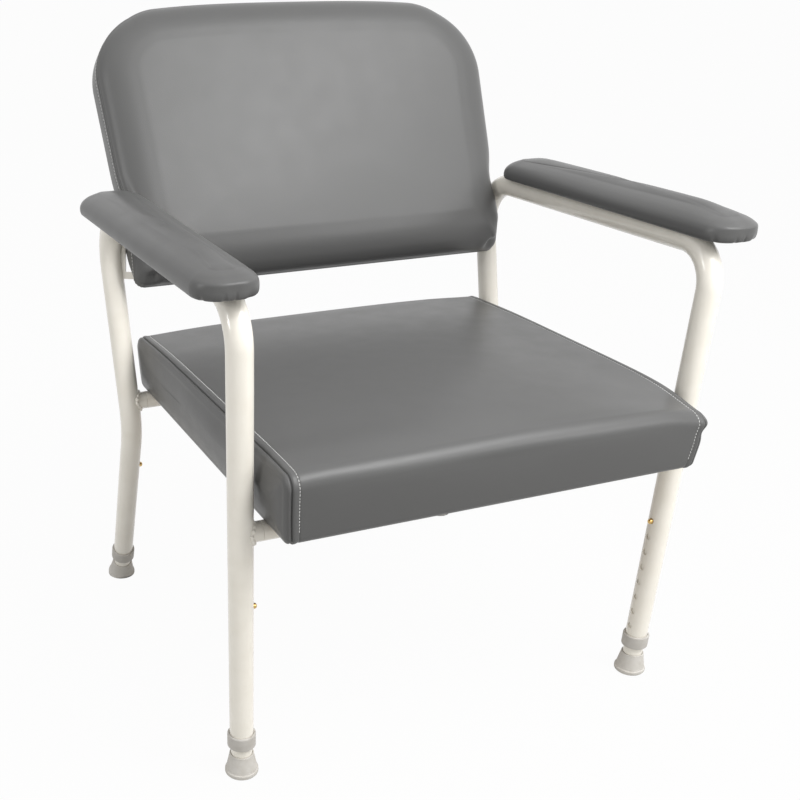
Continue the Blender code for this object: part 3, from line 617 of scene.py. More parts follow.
def at_distance(at, run, line):
    """Points of a line at given distances along it, between its own points on straight steps."""
    return np.stack([np.interp(at, run, line[:, k]) for k in range(3)], axis=-1)


def dip(at, centre, width):
    """Bell of height 1 about a centre, falling to 0.37 at the width."""
    return np.exp(-(((at - centre) / width) ** 2))


def hollow(x, y, place, size):
    """Bell-shaped hollow about a place on plan: size is its depth and its reach across and along."""
    return size[0] * dip(x, place[0], size[1]) * dip(y, place[1], size[2])


def share(value, low, high):
    """Value as a share of the way from low to high, held between 0 and 1."""
    return np.clip((value - low) / (high - low), 0.0, 1.0)


def seam_rise(run, seam, stitch, lips, dent):
    """Height of the skin across a seam, a sum of bells: a groove at the seam, a lip at each (offset,
    width, height) and a dent of (width, depth) under the stitch."""
    rise = -SEAM_DEEP * dip(run, seam, SEAM_WIDE)
    for offset, width, height in lips:
        rise = rise + height * dip(run, seam + offset, width)
    return rise - dent[1] * dip(run, stitch, dent[0])


def normals(points):
    """Unit normal at each point of a lattice from the cross product of its row and column differences,
    outwards."""
    along = np.gradient(points, axis=0)
    beside = np.roll(points, -1, axis=1) - np.roll(points, 1, axis=1)
    out = np.cross(along, beside)
    out = out / np.maximum(np.linalg.norm(out, axis=-1, keepdims=True), 1e-12)
    centre = points.reshape(-1, 3).mean(axis=0)
    return out * np.sign(np.sum(out * (points - centre), axis=-1).mean())


def blown(name, surface, held, most):
    """How far each point of a closed lattice moves when it is blown up as cloth with gravity off: the
    held points stay, the others move outward along their own normals, at most the given distance. The
    firm foam under the vinyl allows no small creases, so each move is then averaged with its four
    neighbours, a few times over."""
    rows, columns = surface.shape[:2]
    pad = lattice(name, surface, None)
    grip = pad.vertex_groups.new(name="sewn")
    grip.add(np.flatnonzero(held.reshape(-1)).tolist(), 1.0, "REPLACE")
    cloth = pad.modifiers.new("Cloth", "CLOTH")
    cloth.settings.use_pressure = True
    cloth.settings.uniform_pressure_force = CLOTH_PRESSURE
    cloth.settings.effector_weights.gravity = 0.0
    cloth.settings.vertex_group_mass = "sewn"
    cloth.settings.tension_stiffness = 30.0
    cloth.settings.compression_stiffness = 6.0
    cloth.settings.bending_stiffness = 10.0
    cloth.settings.quality = 6
    cloth.point_cache.frame_end = CLOTH_FRAMES
    for step in range(1, CLOTH_FRAMES + 1):
        bpy.context.scene.frame_set(step)
    mesh = pad.evaluated_get(bpy.context.evaluated_depsgraph_get()).to_mesh()
    moved = np.empty(len(mesh.vertices) * 3)
    mesh.vertices.foreach_get("co", moved)
    shift = moved.reshape(rows, columns, 3) - surface
    outward = normals(surface)
    reach = np.sum(shift * outward, axis=-1, keepdims=True)
    old = pad.data
    bpy.data.objects.remove(pad)
    bpy.data.meshes.remove(old)
    bpy.context.scene.frame_set(1)
    shift = outward * np.clip(reach, 0.0, most)
    for smoothing in range(SMOOTH_PASSES):
        beside = np.roll(shift, 1, axis=1) + np.roll(shift, -1, axis=1)
        along = np.concatenate([shift[:1], shift[:-1]]) + np.concatenate([shift[1:], shift[-1:]])
        shift = np.where(held[:, :, None], 0.0, 0.5 * shift + 0.125 * (beside + along))
    return shift


def resampled(shift, rows_from, rows_to, columns_from, columns_to):
    """A field known on a coarse grid carried to a finer one: straight interpolation along the rows'
    coordinate, then round the closed columns' coordinate, which runs from 0 to 1."""
    tall = np.stack([
        [np.interp(rows_to, rows_from, shift[:, c, k]) for c in range(shift.shape[1])] for k in range(3)])
    wide = np.stack([
        [np.interp(columns_to, columns_from, tall[k, :, r], period=1.0) for r in range(len(rows_to))]
        for k in range(3)])
    return np.moveaxis(wide, 0, -1)


def thread_row(line, outs, pitch, length, thick, closed=False):
    """Stitches along a line of points on a skin: at each pitch a short spindle lies along the line, half
    sunk in the skin, its thickness a rounded hump from end to end. Gives the points as (stitches, 5, 6,
    xyz)."""
    if closed:
        line, outs = np.concatenate([line, line[:1]]), np.concatenate([outs, outs[:1]])
    run = distance_along(line)
    at = np.arange(pitch / 2, run[-1], pitch)
    spot = at_distance(at, run, line)
    chord = at_distance(at + 0.3 * pitch, run, line) - at_distance(at - 0.3 * pitch, run, line)
    way = chord / np.maximum(np.linalg.norm(chord, axis=1), 1e-9)[:, None]
    out = unit(at_distance(at, run, outs))
    across = np.cross(way, out)
    t = np.array((-1.0, -0.7, 0.0, 0.7, 1.0))
    hump = np.array((0.35, 0.85, 1.0, 0.85, 0.35))
    a = full_turn(6)[:, None, None]
    rim = np.cos(a) * across + np.sin(a) * out
    body = spot[:, None, None] + (t * length / 2)[None, :, None, None] * way[:, None, None]
    body = body + thick * hump[None, :, None, None] * np.moveaxis(rim, 0, 1)[:, None]
    return body + (0.15 * thick * hump)[None, :, None, None] * out[:, None, None]


def vinyl(name, colour, roughness):
    """Upholstery vinyl: embossed pebble grain of about two millimetres, fine creases that run at a slant,
    a soft gloss, and a tone that varies faintly where it is handled."""
    mat, tree, shader, place = new_finish(name, colour, roughness)
    shader.inputs["Specular IOR Level"].default_value = 0.26
    warp = add_node(tree, "ShaderNodeTexNoise", Vector=place, Scale=520.0)
    shift = tree.nodes.new("ShaderNodeVectorMath")
    shift.operation = "MULTIPLY_ADD"
    shift.inputs[1].default_value = (0.0012, 0.0012, 0.0012)
    tree.links.new(warp.outputs["Color"], shift.inputs[0])
    tree.links.new(place, shift.inputs[2])
    pebble = add_node(tree, "ShaderNodeTexVoronoi", Vector=shift.outputs["Vector"], Scale=430.0)
    pebble.feature = "DISTANCE_TO_EDGE"
    grain = relief(tree, shader, ramp(tree, pebble.outputs["Distance"], 0.0, 0.22, 0.0, 1.0), 0.13, 0.00020)
    slant = add_node(tree, "ShaderNodeMapping", Vector=place, Rotation=(0.5, 0.3, 0.7),
                     Scale=(1.0, 6.0, 1.0))
    relief(tree, shader, cloud(tree, slant.outputs["Vector"], 60.0, 5.0, 0.65), 0.010, 0.0008, grain)
    tint(tree, shader, colour, cloud(tree, place, 9.0, 5.0, 0.6), 0.35, 0.70, (0.985, 0.985, 0.987))
    tree.links.new(ramp(tree, cloud(tree, place, 30.0, 4.0), 0.3, 0.7, roughness - 0.02, roughness + 0.03),
                   shader.inputs["Roughness"])
    return mat


grey_vinyl = vinyl("grey upholstery vinyl", GREY, 0.34)
pale_thread = bare_finish("pale grey thread", THREAD, 0.75, 0.0, (1200.0, 2.0, 0.35, 0.70),
                          (0.80, 0.80, 0.80), (5200.0, 1.0, 0.25, 0.0002))

birch, birch_tree, birch_shader, birch_place = new_finish("birch plywood", BIRCH, 0.62)
plies = add_node(birch_tree, "ShaderNodeTexWave", Vector=birch_place, Scale=26.0, Distortion=5.0,
                 Detail=4.0)
plies.bands_direction = "X"
tint(birch_tree, birch_shader, BIRCH, plies.outputs["Fac"], 0.2, 0.9, (0.80, 0.74, 0.66))
relief(birch_tree, birch_shader, cloud(birch_tree, birch_place, 900.0, 3.0), 0.12, 0.0004)


def seat_section():
    """Half of the seat across its width as (x, inset): out over the swelled side panel, up round the
    rolled edge, in over the top to the middle. Gives the line and the distance along it."""
    flat = np.linspace(0.0, 1.0, ROLL_FROM + 1)
    side_inset = SIDE_INSET + (EDGE_ROLL - SIDE_INSET) * flat
    side = np.stack([-SEAT_HALF + SIDE_SWELL * flat ** 2, side_inset], axis=1)
    a = np.linspace(0.0, np.pi / 2, ROLL_TO - ROLL_FROM + 1)[1:]
    roll_x = -SEAT_HALF + SIDE_SWELL + EDGE_ROLL * (1 - np.cos(a))
    roll = np.stack([roll_x, EDGE_ROLL * (1 - np.sin(a))], axis=1)
    top = np.stack([np.linspace(roll[-1, 0], 0.0, 60)[1:], np.zeros(59)], axis=1)
    line = np.concatenate([side, roll, top])
    return line, distance_along(line)


section_line, section_run = seat_section()
section_seam = section_run[ROLL_FROM] + EDGE_ROLL * SEAM_TURN
section_stitch = section_seam + STITCH_BESIDE


def mirrored(run):
    """Distances along half a section followed by those along its mirror image."""
    return np.concatenate([run, 2 * run[-1] - run[-2::-1]])


def seat_surface(run_at, arcs, runs, sewn):
    """The seat's skin on a grid: the profile from front to rear, drawn in by the section's inset, at the
    section's x; the other half is its mirror image. The top crowns and the front and rear swell as one
    minus the 2.2nd power of the distance from the middle. The sides draw in below, the right one more,
    and the whole lies 2 mm to the left. The corners of the top sag, the right front one most and with a
    small ear. Where sewn, the seam sinks a groove, its lips rise and the topstitch dents the skin."""
    line, run = section_line, section_run
    x = np.interp(run_at, run, line[:, 0])
    inset = np.interp(run_at, run, line[:, 1])
    if sewn:
        rise = seam_rise(run_at, section_seam, section_stitch, SEAT_LIPS, SEAT_DENT)
        x = x + rise * np.interp(run_at, run, np.gradient(line[:, 1], run))
        inset = inset - rise * np.interp(run_at, run, np.gradient(line[:, 0], run))
    x = np.concatenate([x, -x[-2::-1]])
    inset = np.concatenate([inset, inset[-2::-1]])
    loop = rounded_loop(SEAT_CORNERS, SEAT_RADII, inset, arcs, runs)
    base = rounded_loop(SEAT_CORNERS, SEAT_RADII, np.zeros(1), arcs, runs)[0]
    way = unit(np.roll(base, -1, axis=0) - np.roll(base, 1, axis=0))
    up = np.clip(-way[:, 0], 0, 1) ** 2
    down = np.clip(way[:, 0], 0, 1) ** 2
    ahead = np.clip(-way[:, 1], 0, 1) ** 2
    behind = np.clip(way[:, 1], 0, 1) ** 2
    x = x[:, None]
    y, z = loop[..., 0], loop[..., 1]
    bow = np.clip(1.0 - np.abs(x / (SEAT_HALF - EDGE_ROLL)) ** CROWN_POWER, 0.0, 1.0)
    crown = np.clip(1.0 - np.abs((y - CROWN_MIDDLE) / CROWN_REACH) ** CROWN_POWER, 0.0, 1.0)
    to_edge = np.minimum(SEAT_HALF - np.abs(x), np.minimum(y + 0.3697, SEAT_REAR - y))
    under = down * share(to_edge, BOARD_MARGIN, BOARD_MARGIN + 0.005)
    low = np.clip((SEAT_TOP - z) / SEAT_TALL, 0.0, 1.0)
    z = z + BOARD_SINK * under + SEAT_CROWN * bow * up * crown
    z = z - (1.0 - low) * hollow(np.abs(x), y, (SEAT_HALF, SEAT_REAR), REAR_SAG)
    right = np.clip(x / SEAT_HALF, 0.0, 1.0) ** 2
    left_sag = hollow(x, y, (-SEAT_HALF, SEAT_FRONT), LEFT_SAG)
    right_sag = RIGHT_SAG[0] * dip(y, SEAT_FRONT, RIGHT_SAG[1])
    right_sag = right_sag + hollow(x, y, (SEAT_HALF, SEAT_FRONT), CORNER_SAG)
    z = z - (1.0 - low) * (left_sag + right * right_sag)
    y = y - FRONT_SWELL * bow * ahead + REAR_SWELL * bow * behind
    edge = dip(np.abs(x), SEAT_HALF - 0.004, 0.016)
    ear = right * edge * dip(y, -0.366, 0.016) * (dip(z, 0.4380, 0.008) - dip(z, 0.4240, 0.008))
    wide = x * (1.0 - SIDE_DRAW * low ** 2) - LEFT_SHIFT - RIGHT_DRAW * right + EAR_OUT * ear
    return np.stack([wide, y - EAR_AHEAD * ear, z], axis=-1)


roll_start, roll_end, section_end = section_run[[ROLL_FROM, ROLL_TO, -1]]
coarse_run = np.unique(np.concatenate([
    np.linspace(0.0, roll_start, 5), np.linspace(roll_start, roll_end, 6), [section_seam],
    np.linspace(roll_end, section_end, 24)]))
fine_run = np.unique(np.concatenate([
    np.linspace(0.0, roll_start, 9), np.linspace(roll_start, roll_end, 26),
    section_seam + np.linspace(-0.0032, 0.0032, 17), section_stitch + np.linspace(-0.0020, 0.0020, 9),
    roll_end + (section_end - roll_end) * np.linspace(0.0, 1.0, 40) ** 1.3]))
seat_arcs, seat_runs = (10, 10, 18, 20), (44, 14, 100, 20)
seat = seat_surface(fine_run, seat_arcs, seat_runs, True)
coarse_arcs, coarse_runs = (4, 4, 6, 6), (26, 5, 34, 6)
blank = seat_surface(coarse_run, coarse_arcs, coarse_runs, False)
rows_from, rows_to = mirrored(coarse_run), mirrored(fine_run)
from_far_end = 2 * coarse_run[-1] - rows_from
seams = np.minimum(np.abs(rows_from - section_seam), np.abs(from_far_end - section_seam))
held = (seams[:, None] < 1e-6) | (blank[..., 2] < SEAT_HELD_BELOW)
shift = blown("seat_blank", blank, held, SEAT_FILL)
seat = seat + resampled(
    shift, rows_from, rows_to, outline_share(SEAT_CORNERS, SEAT_RADII, coarse_arcs, coarse_runs),
    outline_share(SEAT_CORNERS, SEAT_RADII, seat_arcs, seat_runs))
seat_out = normals(seat)
cushion = lattice("seat_cushion", seat, grey_vinyl, sharp=SOFT_ANGLE)
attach(cushion, "frame")
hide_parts("seat_cover", "seat_foam")

stitch_row = int(np.argmin(np.abs(fine_run - section_stitch)))
sewn_columns = np.arange(seat_arcs[0] + seat_runs[0] + 4, seat.shape[1] - 3)
seat_stitches = [
    thread_row(seat[row, sewn_columns], seat_out[row, sewn_columns], *SEAT_STITCH)
    for row in (stitch_row, len(seat) - 1 - stitch_row)]
seat_thread = rods("seat_topstitch", np.concatenate(seat_stitches), pale_thread, STITCH_ANGLE)
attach(seat_thread, "frame")

show_as("seat_board", birch)


# Backrest. A padded panel tilted back between the posts: vinyl pulled over foam and board, its front sewn
# to a border that runs round the sides to the rear edge, with a flat panel behind. A steel hoop inside it
# is carried by a welded tab a side.

BACK_TILT = math.radians(27.9)
BACK_ORIGIN = np.array((0.0, 0.16498, 0.5355))
BACK_LEN = 0.3958
BACK_T = 0.0664
BACK_SET = 0.0052
BACK_CORNERS = ((-0.3085, -0.0032), (0.3070, -0.0032), (0.3180, BACK_LEN), (-0.3180, BACK_LEN))
BACK_RADII = (0.020, 0.020, 0.115, 0.104)
BACK_CROWN = 0.0026
BACK_FILL = 0.0016
BACK_STITCH = (0.0048, 0.0035, 0.00085)
BACK_LIPS = ((0.0042, 0.0028, 0.0010), (-0.0026, 0.0016, 0.0005))
BACK_DENT = (0.0009, 0.0004)
SEAM_MARK = 9
BORDER_MARK = 6
FACE_MARK = 13
BACK_STEPS = 6
BACK_FACE = 44
BACK_BLANK_FACE = 14
BACK_FACE_RUN = 0.2
SIDE_PRESS = 0.0056
TAB_Z = 0.5625
TAB_HALF = 0.0245
TAB_THICK = 0.0038
TAB_LIFT = 0.0012
TAB_BEAD = 0.0029
TAB_LUMPS = 11


def on_back(u, v, h):
    """Point of the back's tilted frame: u across, v up the pad, h forward from its rear face."""
    deep = BACK_T / 2 - h
    lean, rise = math.sin(BACK_TILT), math.cos(BACK_TILT)
    return np.stack([u + BACK_SET, deep * rise + v * lean, v * rise - deep * lean], axis=-1) + BACK_ORIGIN


def flowing(points, per_span):
    """Smooth line through points: between each two, a cubic whose slopes are half the chord of the
    neighbours."""
    points = np.array(points, float)
    longer = np.concatenate([2 * points[:1] - points[1:2], points, 2 * points[-1:] - points[-2:-1]])
    a, b, c, d = longer[:-3], longer[1:-2], longer[2:-1], longer[3:]
    t = np.linspace(0.0, 1.0, per_span, endpoint=False)[None, :, None]
    curve = 0.5 * (2 * b[:, None] + (c - a)[:, None] * t + (2 * a - 5 * b + 4 * c - d)[:, None] * t ** 2
                   + (3 * b - a - 3 * c + d)[:, None] * t ** 3)
    return np.concatenate([curve.reshape(-1, points.shape[1]), points[-1:]])


def pad_rings(corners, radii, rows, arcs, runs, face_rows, crown):
    """Rings of a pad as (u, v, h): the outline drawn in by each row's inset at its height, then the last
    ring shrunk in steps to its middle while the face rises by the crown as one minus the square of the
    share that is left."""
    rows = np.array(rows, float)
    loop = rounded_loop(corners, radii, rows[:, 0], arcs, runs)
    high = np.broadcast_to(rows[:, 1][:, None], loop.shape[:2])
    middle = loop[-1].mean(axis=0)
    left = np.linspace(1.0, 0.02, face_rows + 1)[1:]
    face = middle + (loop[-1] - middle) * left[:, None, None]
    rise = rows[-1, 1] + crown * (1.0 - left ** 2)
    flat = np.concatenate([loop, face])
    high = np.concatenate([high, np.broadcast_to(rise[:, None], face.shape[:2])])
    return flat[..., 0], flat[..., 1], high


def onto_face(rows, face_rows, reach):
    """Row coordinates of a pad's profile carried on over its face in equal steps."""
    return np.concatenate([rows, rows[-1] + np.linspace(0.0, reach, face_rows + 1)[1:]])


back_profile = (
    (0.0400, 0.0060), (0.0165, 0.0052), (0.0125, 0.0012), (0.0090, 0.0000), (0.0062, 0.0016),
    (0.0050, 0.0060), (0.0045, 0.0160), (0.0044, 0.0260), (0.0046, 0.0350), (0.0050, 0.0400),
    (0.0062, 0.0455), (0.0105, 0.0520), (0.0180, 0.0582), (0.0285, 0.0630), (0.0420, 0.0662),
    (0.0600, 0.0680))
back_foot = (
    (0.0400, 0.0060), (0.0200, 0.0052), (0.0160, 0.0012), (0.0130, 0.0000), (0.0105, 0.0014),
    (0.0092, 0.0040), (0.0080, 0.0070), (0.0070, 0.0100), (0.0060, 0.0130), (0.0055, 0.0155),
    (0.0045, 0.0220), (0.0058, 0.0320), (0.0110, 0.0430), (0.0210, 0.0540), (0.0370, 0.0632),
    (0.0600, 0.0680))


def back_stitch(marks):
    """Distance along a back profile at which the topstitch lies, on the border behind the seam."""
    return 0.65 * marks[SEAM_MARK - 1] + 0.35 * marks[SEAM_MARK - 2]


def sewn_rows(profile, per_span, sewn):
    """A back profile as a smooth line with the distance along it and its marks; where sewn, the seam is a
    groove with raised lips and the stitch dents the border."""
    rows = flowing(profile, per_span)
    run = distance_along(rows)
    marks = run[::per_span]
    if sewn:
        slope = np.gradient(rows, run, axis=0)
        rise = seam_rise(run, marks[SEAM_MARK], back_stitch(marks), BACK_LIPS, BACK_DENT)
        rows = rows + rise[:, None] * np.stack([-slope[:, 1], slope[:, 0]], axis=1)
    return rows, run, marks


def drooped(u, v):
    """The top edge falls towards both corners with the cube of the distance from the middle."""
    return v - 0.0100 * np.minimum(np.abs(u) / 0.25, 1.0) ** 3 * share(v, 0.20, 0.37)


def back_surface(per_span, arcs, runs, face_rows, sewn):
    """The back pad's skin: outline by profile, front face crowned; along the foot another profile takes
    over, whose roll is larger and whose seam lies further back. The sides are pressed in beside the arm
    rails. Where sewn, the two lower corners are gathered into a fold."""
    rows, run, marks = sewn_rows(back_profile, per_span, sewn)
    low_rows = sewn_rows(back_foot, per_span, sewn)[0]
    u, v, h = pad_rings(BACK_CORNERS, BACK_RADII, rows, arcs, runs, face_rows, BACK_CROWN)
    low_u, low_v, low_h = pad_rings(BACK_CORNERS, BACK_RADII, low_rows, arcs, runs, face_rows, BACK_CROWN)
    up_outline = rounded_loop(BACK_CORNERS, BACK_RADII, np.zeros(1), arcs, runs)[0, :, 1]
    foot = np.clip((0.050 - up_outline) / 0.042, 0.0, 1.0)
    foot = foot * foot * (3.0 - 2.0 * foot)
    u, v, h = u + (low_u - u) * foot, v + (low_v - v) * foot, h + (low_h - h) * foot
    if sewn:
        near = np.hypot(np.abs(u) - 0.287, v - 0.010)
        fold = dip(near, 0.0, 0.011) * dip(h, 0.0400, 0.0100)
        tuck = dip(np.abs(u), 0.272, 0.010) * dip(v, 0.010, 0.012) * dip(h, 0.0420, 0.012)
        u = u - np.sign(u) * 0.0060 * fold
        v = v + 0.0060 * fold - 0.0022 * tuck
    u = u - np.sign(u) * SIDE_PRESS * dip(v, 0.112, 0.027) * share(np.abs(u), 0.285, 0.300)
    return u, drooped(u, v), h, marks, run


back_arcs, back_runs = (16, 16, 40, 40), (110, 50, 70, 50)
u, v, h, back_marks, back_run = back_surface(BACK_STEPS, back_arcs, back_runs, BACK_FACE, True)
back = on_back(u, v, h)
coarse_arcs, coarse_runs = (4, 4, 9, 9), (28, 14, 20, 14)
u, v, h, coarse_marks, coarse_rows = back_surface(1, coarse_arcs, coarse_runs, BACK_BLANK_FACE, False)
blank = on_back(u, v, h)
fine_marks = np.linspace(0, len(back_marks) - 1, len(back_run))
fine_rows = np.interp(fine_marks, np.arange(len(coarse_marks)), coarse_marks)
rows_from = onto_face(coarse_rows, BACK_BLANK_FACE, BACK_FACE_RUN)
rows_to = onto_face(fine_rows, BACK_FACE, BACK_FACE_RUN)
held = np.zeros(h.shape, bool)
held[:BORDER_MARK] = True
held[SEAM_MARK] = True
shift = blown("back_blank", blank, held, BACK_FILL)
# The flat of the face moves as one: each ring inside the roll takes the mean of its own moves.
shift[FACE_MARK:] = shift[FACE_MARK:].mean(axis=1, keepdims=True)
back = back + resampled(
    shift, rows_from, rows_to, outline_share(BACK_CORNERS, BACK_RADII, coarse_arcs, coarse_runs),
    outline_share(BACK_CORNERS, BACK_RADII, back_arcs, back_runs))
back_out = normals(back)
backrest = lattice("back_pad", back, grey_vinyl, sharp=SOFT_ANGLE)
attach(backrest, "frame")
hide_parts("back_cover", "back_foam")

back_row = int(np.argmin(np.abs(back_run - back_stitch(back_marks))))
back_stitches = thread_row(back[back_row], back_out[back_row], *BACK_STITCH, True)
back_thread = rods("back_topstitch", back_stitches, pale_thread, STITCH_ANGLE)
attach(back_thread, "frame")

panel_rows = eased((
    (0.0500, 0.0040), (0.0172, 0.0040), (0.0162, 0.0016), (0.0185, 0.0004), (0.0500, 0.0002)), 0.0010)
u, v, h = pad_rings(BACK_CORNERS, BACK_RADII, panel_rows, back_arcs, back_runs, 12, -0.0002)
rear_panel = lattice("back_rear_panel", on_back(u, drooped(u, v), h), grey_vinyl, sharp=60.0)
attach(rear_panel, "frame")
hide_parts("back_panel")

turn = full_turn(160)[:, None]
across_post = np.array((0.0, POST_WAY[2], -POST_WAY[1]))
tab_line = TAB_HALF * np.cos(turn) * POST_WAY + TAB_THICK * np.sin(turn) * across_post
tab_y = KINK[0] + (TAB_Z - KINK[1]) * POST_WAY[1] / POST_WAY[2]
for label, side in SIDES:
    line = tab_line + np.array((side * (LEG_X - TUBE_R - TAB_LIFT), tab_y, TAB_Z))
    weld = lattice(label + "_tab_weld", bead(line, TAB_BEAD, TAB_LUMPS), cream, True, SOFT_ANGLE)
    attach(weld, "frame")
    show_as(label + "_back_tab", cream)

show_as("back_hoop", zinc)
show_as("back_board", birch)


# Arm pads. Foam on a plywood strip under a close vinyl cover, domed along the top and gathered under the
# front end; each stands a little outboard of its rail and is held by two screws from inside the tube.

ARM_OUT = 0.0150
ARM_LOW = (0.6466, 0.6468)
ARM_TALL = (0.0370, 0.0308)
ARM_DRAWN_TALL = 0.0345
ARM_FRONT = -0.3124
ARM_REAR = 0.1731
ARM_LONG = 0.4855
ARM_CORNERS = ((-0.0387, ARM_FRONT), (0.0387, ARM_FRONT), (0.0475, ARM_REAR), (-0.0475, ARM_REAR))
ARM_RADII = (0.033, 0.033, 0.040, 0.040)
ARM_DOME = 0.0048
ARM_FILL = 0.0012
ARM_HELD = 0.0020
ARM_STEPS = 5
ARM_FACE = 18
ARM_BLANK_FACE = 6
ARM_FACE_RUN = 4.0
PLEAT_DEEP = 0.0017
arm_profile = (
    (0.0200, 0.0006), (0.0060, 0.0000), (0.0020, 0.0010), (0.0004, 0.0040), (0.0000, 0.0085),
    (0.0010, 0.0135), (0.0042, 0.0185), (0.0100, 0.0232), (0.0175, 0.0268), (0.0260, 0.0297))


def arm_surface(per_span, arcs, runs, face_rows, sewn):
    """An arm pad's skin: outline by profile with a domed top that falls away to a crisper edge over the
    front end; its lower edge and its thickness change evenly from front to rear. Where sewn, small pleats
    pull the lower edge in round the front end."""
    rows = flowing(arm_profile, per_span)
    u, v, h = pad_rings(ARM_CORNERS, ARM_RADII, rows, arcs, runs, face_rows, 0.0)
    flat_half = 0.0127 + 0.0088 * (v - ARM_FRONT) / ARM_LONG
    across = np.clip(np.abs(u) / flat_half, 0.0, 1.0)
    ends = np.clip((v + 0.2864) / 0.070, 0.0, 1.0) * np.clip((0.1471 - v) / 0.050, 0.0, 1.0)
    h = h + ARM_DOME * (1.0 - across ** 2) * ends * (2.0 - ends)
    inset = np.concatenate([rows[:, 0], np.full(face_rows, rows[-1, 0])])[:, None]
    ahead = dip(v, ARM_FRONT, 0.045)
    v = v - 0.0022 * dip(inset, 0.0030, 0.0030) * share(h, 0.010, 0.016) * ahead
    h = h - 0.0042 * share(inset, 0.003, 0.023) * ahead
    along = np.clip((v - ARM_FRONT) / ARM_LONG, 0.0, 1.0)
    tall = ARM_TALL[0] + (ARM_TALL[1] - ARM_TALL[0]) * along
    h = h * tall / ARM_DRAWN_TALL + (ARM_LOW[1] - ARM_LOW[0]) * along
    if sewn:
        turn = np.arctan2(u, -(v + 0.275))
        end = np.clip((-0.285 - v) / 0.012, 0.0, 1.0)
        pleat = np.clip(np.sin(turn * 13.0 + 1.4 * np.sin(turn * 5.0)), 0.0, 1.0) ** 2
        pull = end * pleat * np.clip((0.011 - h) / 0.011, 0.0, 1.0) * PLEAT_DEEP
        v = v + pull * np.cos(turn)
        u = u - pull * np.sin(turn)
    return u, v, h


arm_arcs, arm_runs = (40, 40, 26, 26), (22, 90, 18, 90)
coarse_arcs, coarse_runs = (7, 7, 7, 7), (4, 26, 4, 26)
spans = len(arm_profile) - 1
for label, side in SIDES:
    outboard = np.array((side * (LEG_X + ARM_OUT), 0.0, ARM_LOW[0]))
    arm = np.stack(arm_surface(ARM_STEPS, arm_arcs, arm_runs, ARM_FACE, True), axis=-1) + outboard
    blank = np.stack(arm_surface(1, coarse_arcs, coarse_runs, ARM_BLANK_FACE, False), axis=-1) + outboard
    rows_from = onto_face(np.arange(spans + 1), ARM_BLANK_FACE, ARM_FACE_RUN)
    rows_to = onto_face(np.arange(ARM_STEPS * spans + 1) / ARM_STEPS, ARM_FACE, ARM_FACE_RUN)
    held = blank[..., 2] < ARM_LOW[0] + ARM_HELD
    shift = blown("arm_blank", blank, held, ARM_FILL)
    arm = arm + resampled(
        shift, rows_from, rows_to, outline_share(ARM_CORNERS, ARM_RADII, coarse_arcs, coarse_runs),
        outline_share(ARM_CORNERS, ARM_RADII, arm_arcs, arm_runs))
    pad = lattice(label + "_arm_pad", arm, grey_vinyl, sharp=SOFT_ANGLE)
    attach(pad, "frame")
    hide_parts(label + "_arm_cover", label + "_arm_foam")
    show_as(label + "_arm_board", birch)
    show_as(label + "_arm_screw_front", zinc)
    show_as(label + "_arm_screw_rear", zinc)


# Floor, light and camera. A white floor that keeps a faint shadow, a white surround, a broad lamp above
# and ahead on the right with weaker ones round it, and a camera at the photograph's place.

FLOOR_WHITE = (0.46, 0.455, 0.44)
FLOOR_HALF = 30.0
FLOOR_Z = -0.0006
SHADOW_KEPT = 0.035
SKY_STRENGTH = 0.58
CHAIR_MIDDLE = (0.0, -0.05, 0.5)


def white_to_camera(tree, surface, keep):
    """Shader that looks white to the camera, mirrors and glass, keeping a share of the lit surface, and
    is the lit surface to all other rays."""
    rays = tree.nodes.new("ShaderNodeLightPath")
    seen = rays.outputs["Is Camera Ray"]
    for other in ("Is Glossy Ray", "Is Transmission Ray"):
        either = tree.nodes.new("ShaderNodeMath")
        either.operation = "MAXIMUM"
        tree.links.new(seen, either.inputs[0])
        tree.links.new(rays.outputs[other], either.inputs[1])
        seen = either.outputs[0]
    part = tree.nodes.new("ShaderNodeMath")
    part.operation = "MULTIPLY"
    part.inputs[1].default_value = 1.0 - keep
    tree.links.new(seen, part.inputs[0])
    white = add_node(tree, "ShaderNodeEmission", Color=(1.0, 1.0, 1.0, 1.0), Strength=1.0)
    mix = add_node(tree, "ShaderNodeMixShader", Fac=part.outputs[0])
    tree.links.new(surface, mix.inputs[1])
    tree.links.new(white.outputs["Emission"], mix.inputs[2])
    return mix.outputs["Shader"]


floor_finish, floor_tree, floor_shader = new_finish("white floor", FLOOR_WHITE, 0.9)[:3]
floor_shader.inputs["Specular IOR Level"].default_value = 0.0
floor_tree.links.new(white_to_camera(floor_tree, floor_shader.outputs["BSDF"], SHADOW_KEPT),
                     floor_tree.nodes["Material Output"].inputs["Surface"])
floor_points = np.array((
    (-FLOOR_HALF, -FLOOR_HALF, FLOOR_Z), (FLOOR_HALF, -FLOOR_HALF, FLOOR_Z),
    (FLOOR_HALF, FLOOR_HALF, FLOOR_Z), (-FLOOR_HALF, FLOOR_HALF, FLOOR_Z)))
floor = skin("studio_floor", floor_points, [[0, 1, 2, 3]], floor_finish)

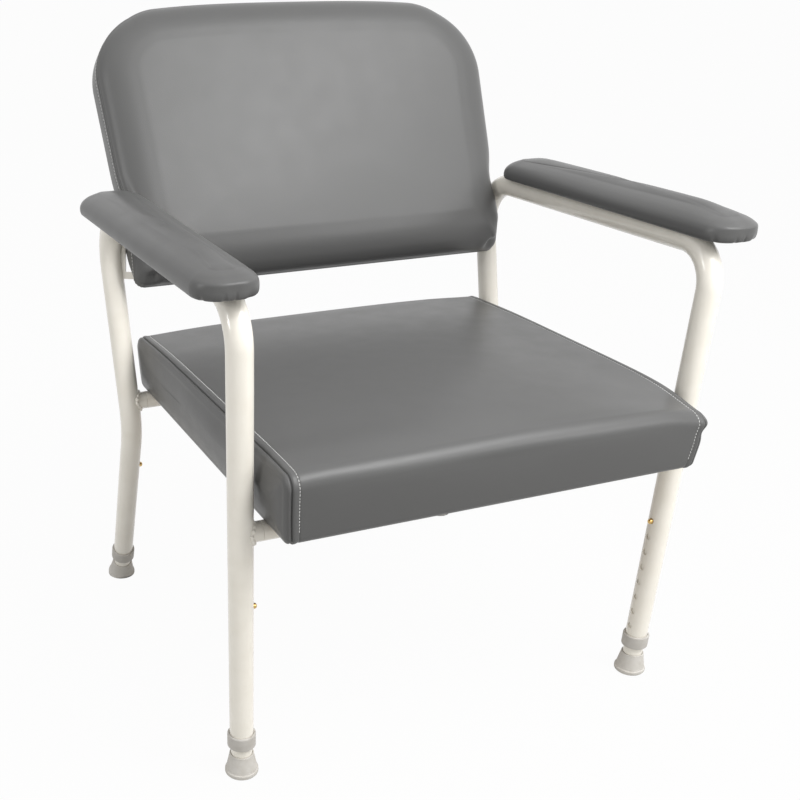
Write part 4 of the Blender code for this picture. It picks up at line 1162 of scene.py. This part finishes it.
scene = bpy.context.scene
scene.world = bpy.data.worlds.new("white surround")
scene.world.use_nodes = True
world_tree = scene.world.node_tree
sky = world_tree.nodes["Background"]
sky.inputs["Color"].default_value = (1.0, 1.0, 1.0, 1.0)
sky.inputs["Strength"].default_value = SKY_STRENGTH
world_tree.links.new(white_to_camera(world_tree, sky.outputs["Background"], 0.0),
                     world_tree.nodes["World Output"].inputs["Surface"])


def lamp(name, place, aim, size, power):
    """Square area lamp at a place, turned to face a point."""
    data = bpy.data.lights.new(name, "AREA")
    data.shape = "SQUARE"
    data.size = size
    data.energy = power
    holder = bpy.data.objects.new(name, data)
    scene.collection.objects.link(holder)
    away = unit(np.array(aim, float) - np.array(place, float))
    holder.location = place
    holder.rotation_euler = (math.acos(-away[2]), 0.0, math.atan2(-away[0], away[1]))


lamp("overhead_right", (1.05, -1.20, 2.75), CHAIR_MIDDLE, 1.3, 46.0)
lamp("overhead_middle", (0.0, -0.60, 3.10), CHAIR_MIDDLE, 1.3, 5.0)
lamp("near_front", (0.35, -1.30, 1.80), (0.0, -0.25, 0.42), 0.8, 13.0)
lamp("front_softbox", (-0.9, -2.6, 1.6), CHAIR_MIDDLE, 1.2, 2.0)
lamp("front_right_softbox", (1.6, -2.0, 1.6), CHAIR_MIDDLE, 1.0, 17.0)
lamp("left_softbox", (-2.3, -0.1, 2.0), CHAIR_MIDDLE, 0.6, 4.0)
lamp("low_left_softbox", (-2.4, -0.3, 1.25), (0.0, 0.0, 0.6), 0.5, 11.0)
lamp("left_spot", (-0.30, -1.9, 2.6), (0.0, 0.0, 0.5), 0.14, 2.0)
lamp("right_spot", (0.15, -1.9, 2.6), (0.0, 0.0, 0.5), 0.14, 2.0)

view = bpy.data.cameras.new("photo_view")
view.sensor_width = 36.0
view.lens = 49.602
view.shift_x = 0.18307
view.shift_y = 0.22509
camera = bpy.data.objects.new("photo_view", view)
camera.location = (-0.74136, -1.36293, 0.97462)
camera.rotation_euler = (math.radians(59.594), math.radians(-0.066), math.radians(-22.115))
scene.collection.objects.link(camera)
scene.camera = camera
scene.view_settings.view_transform = "Standard"
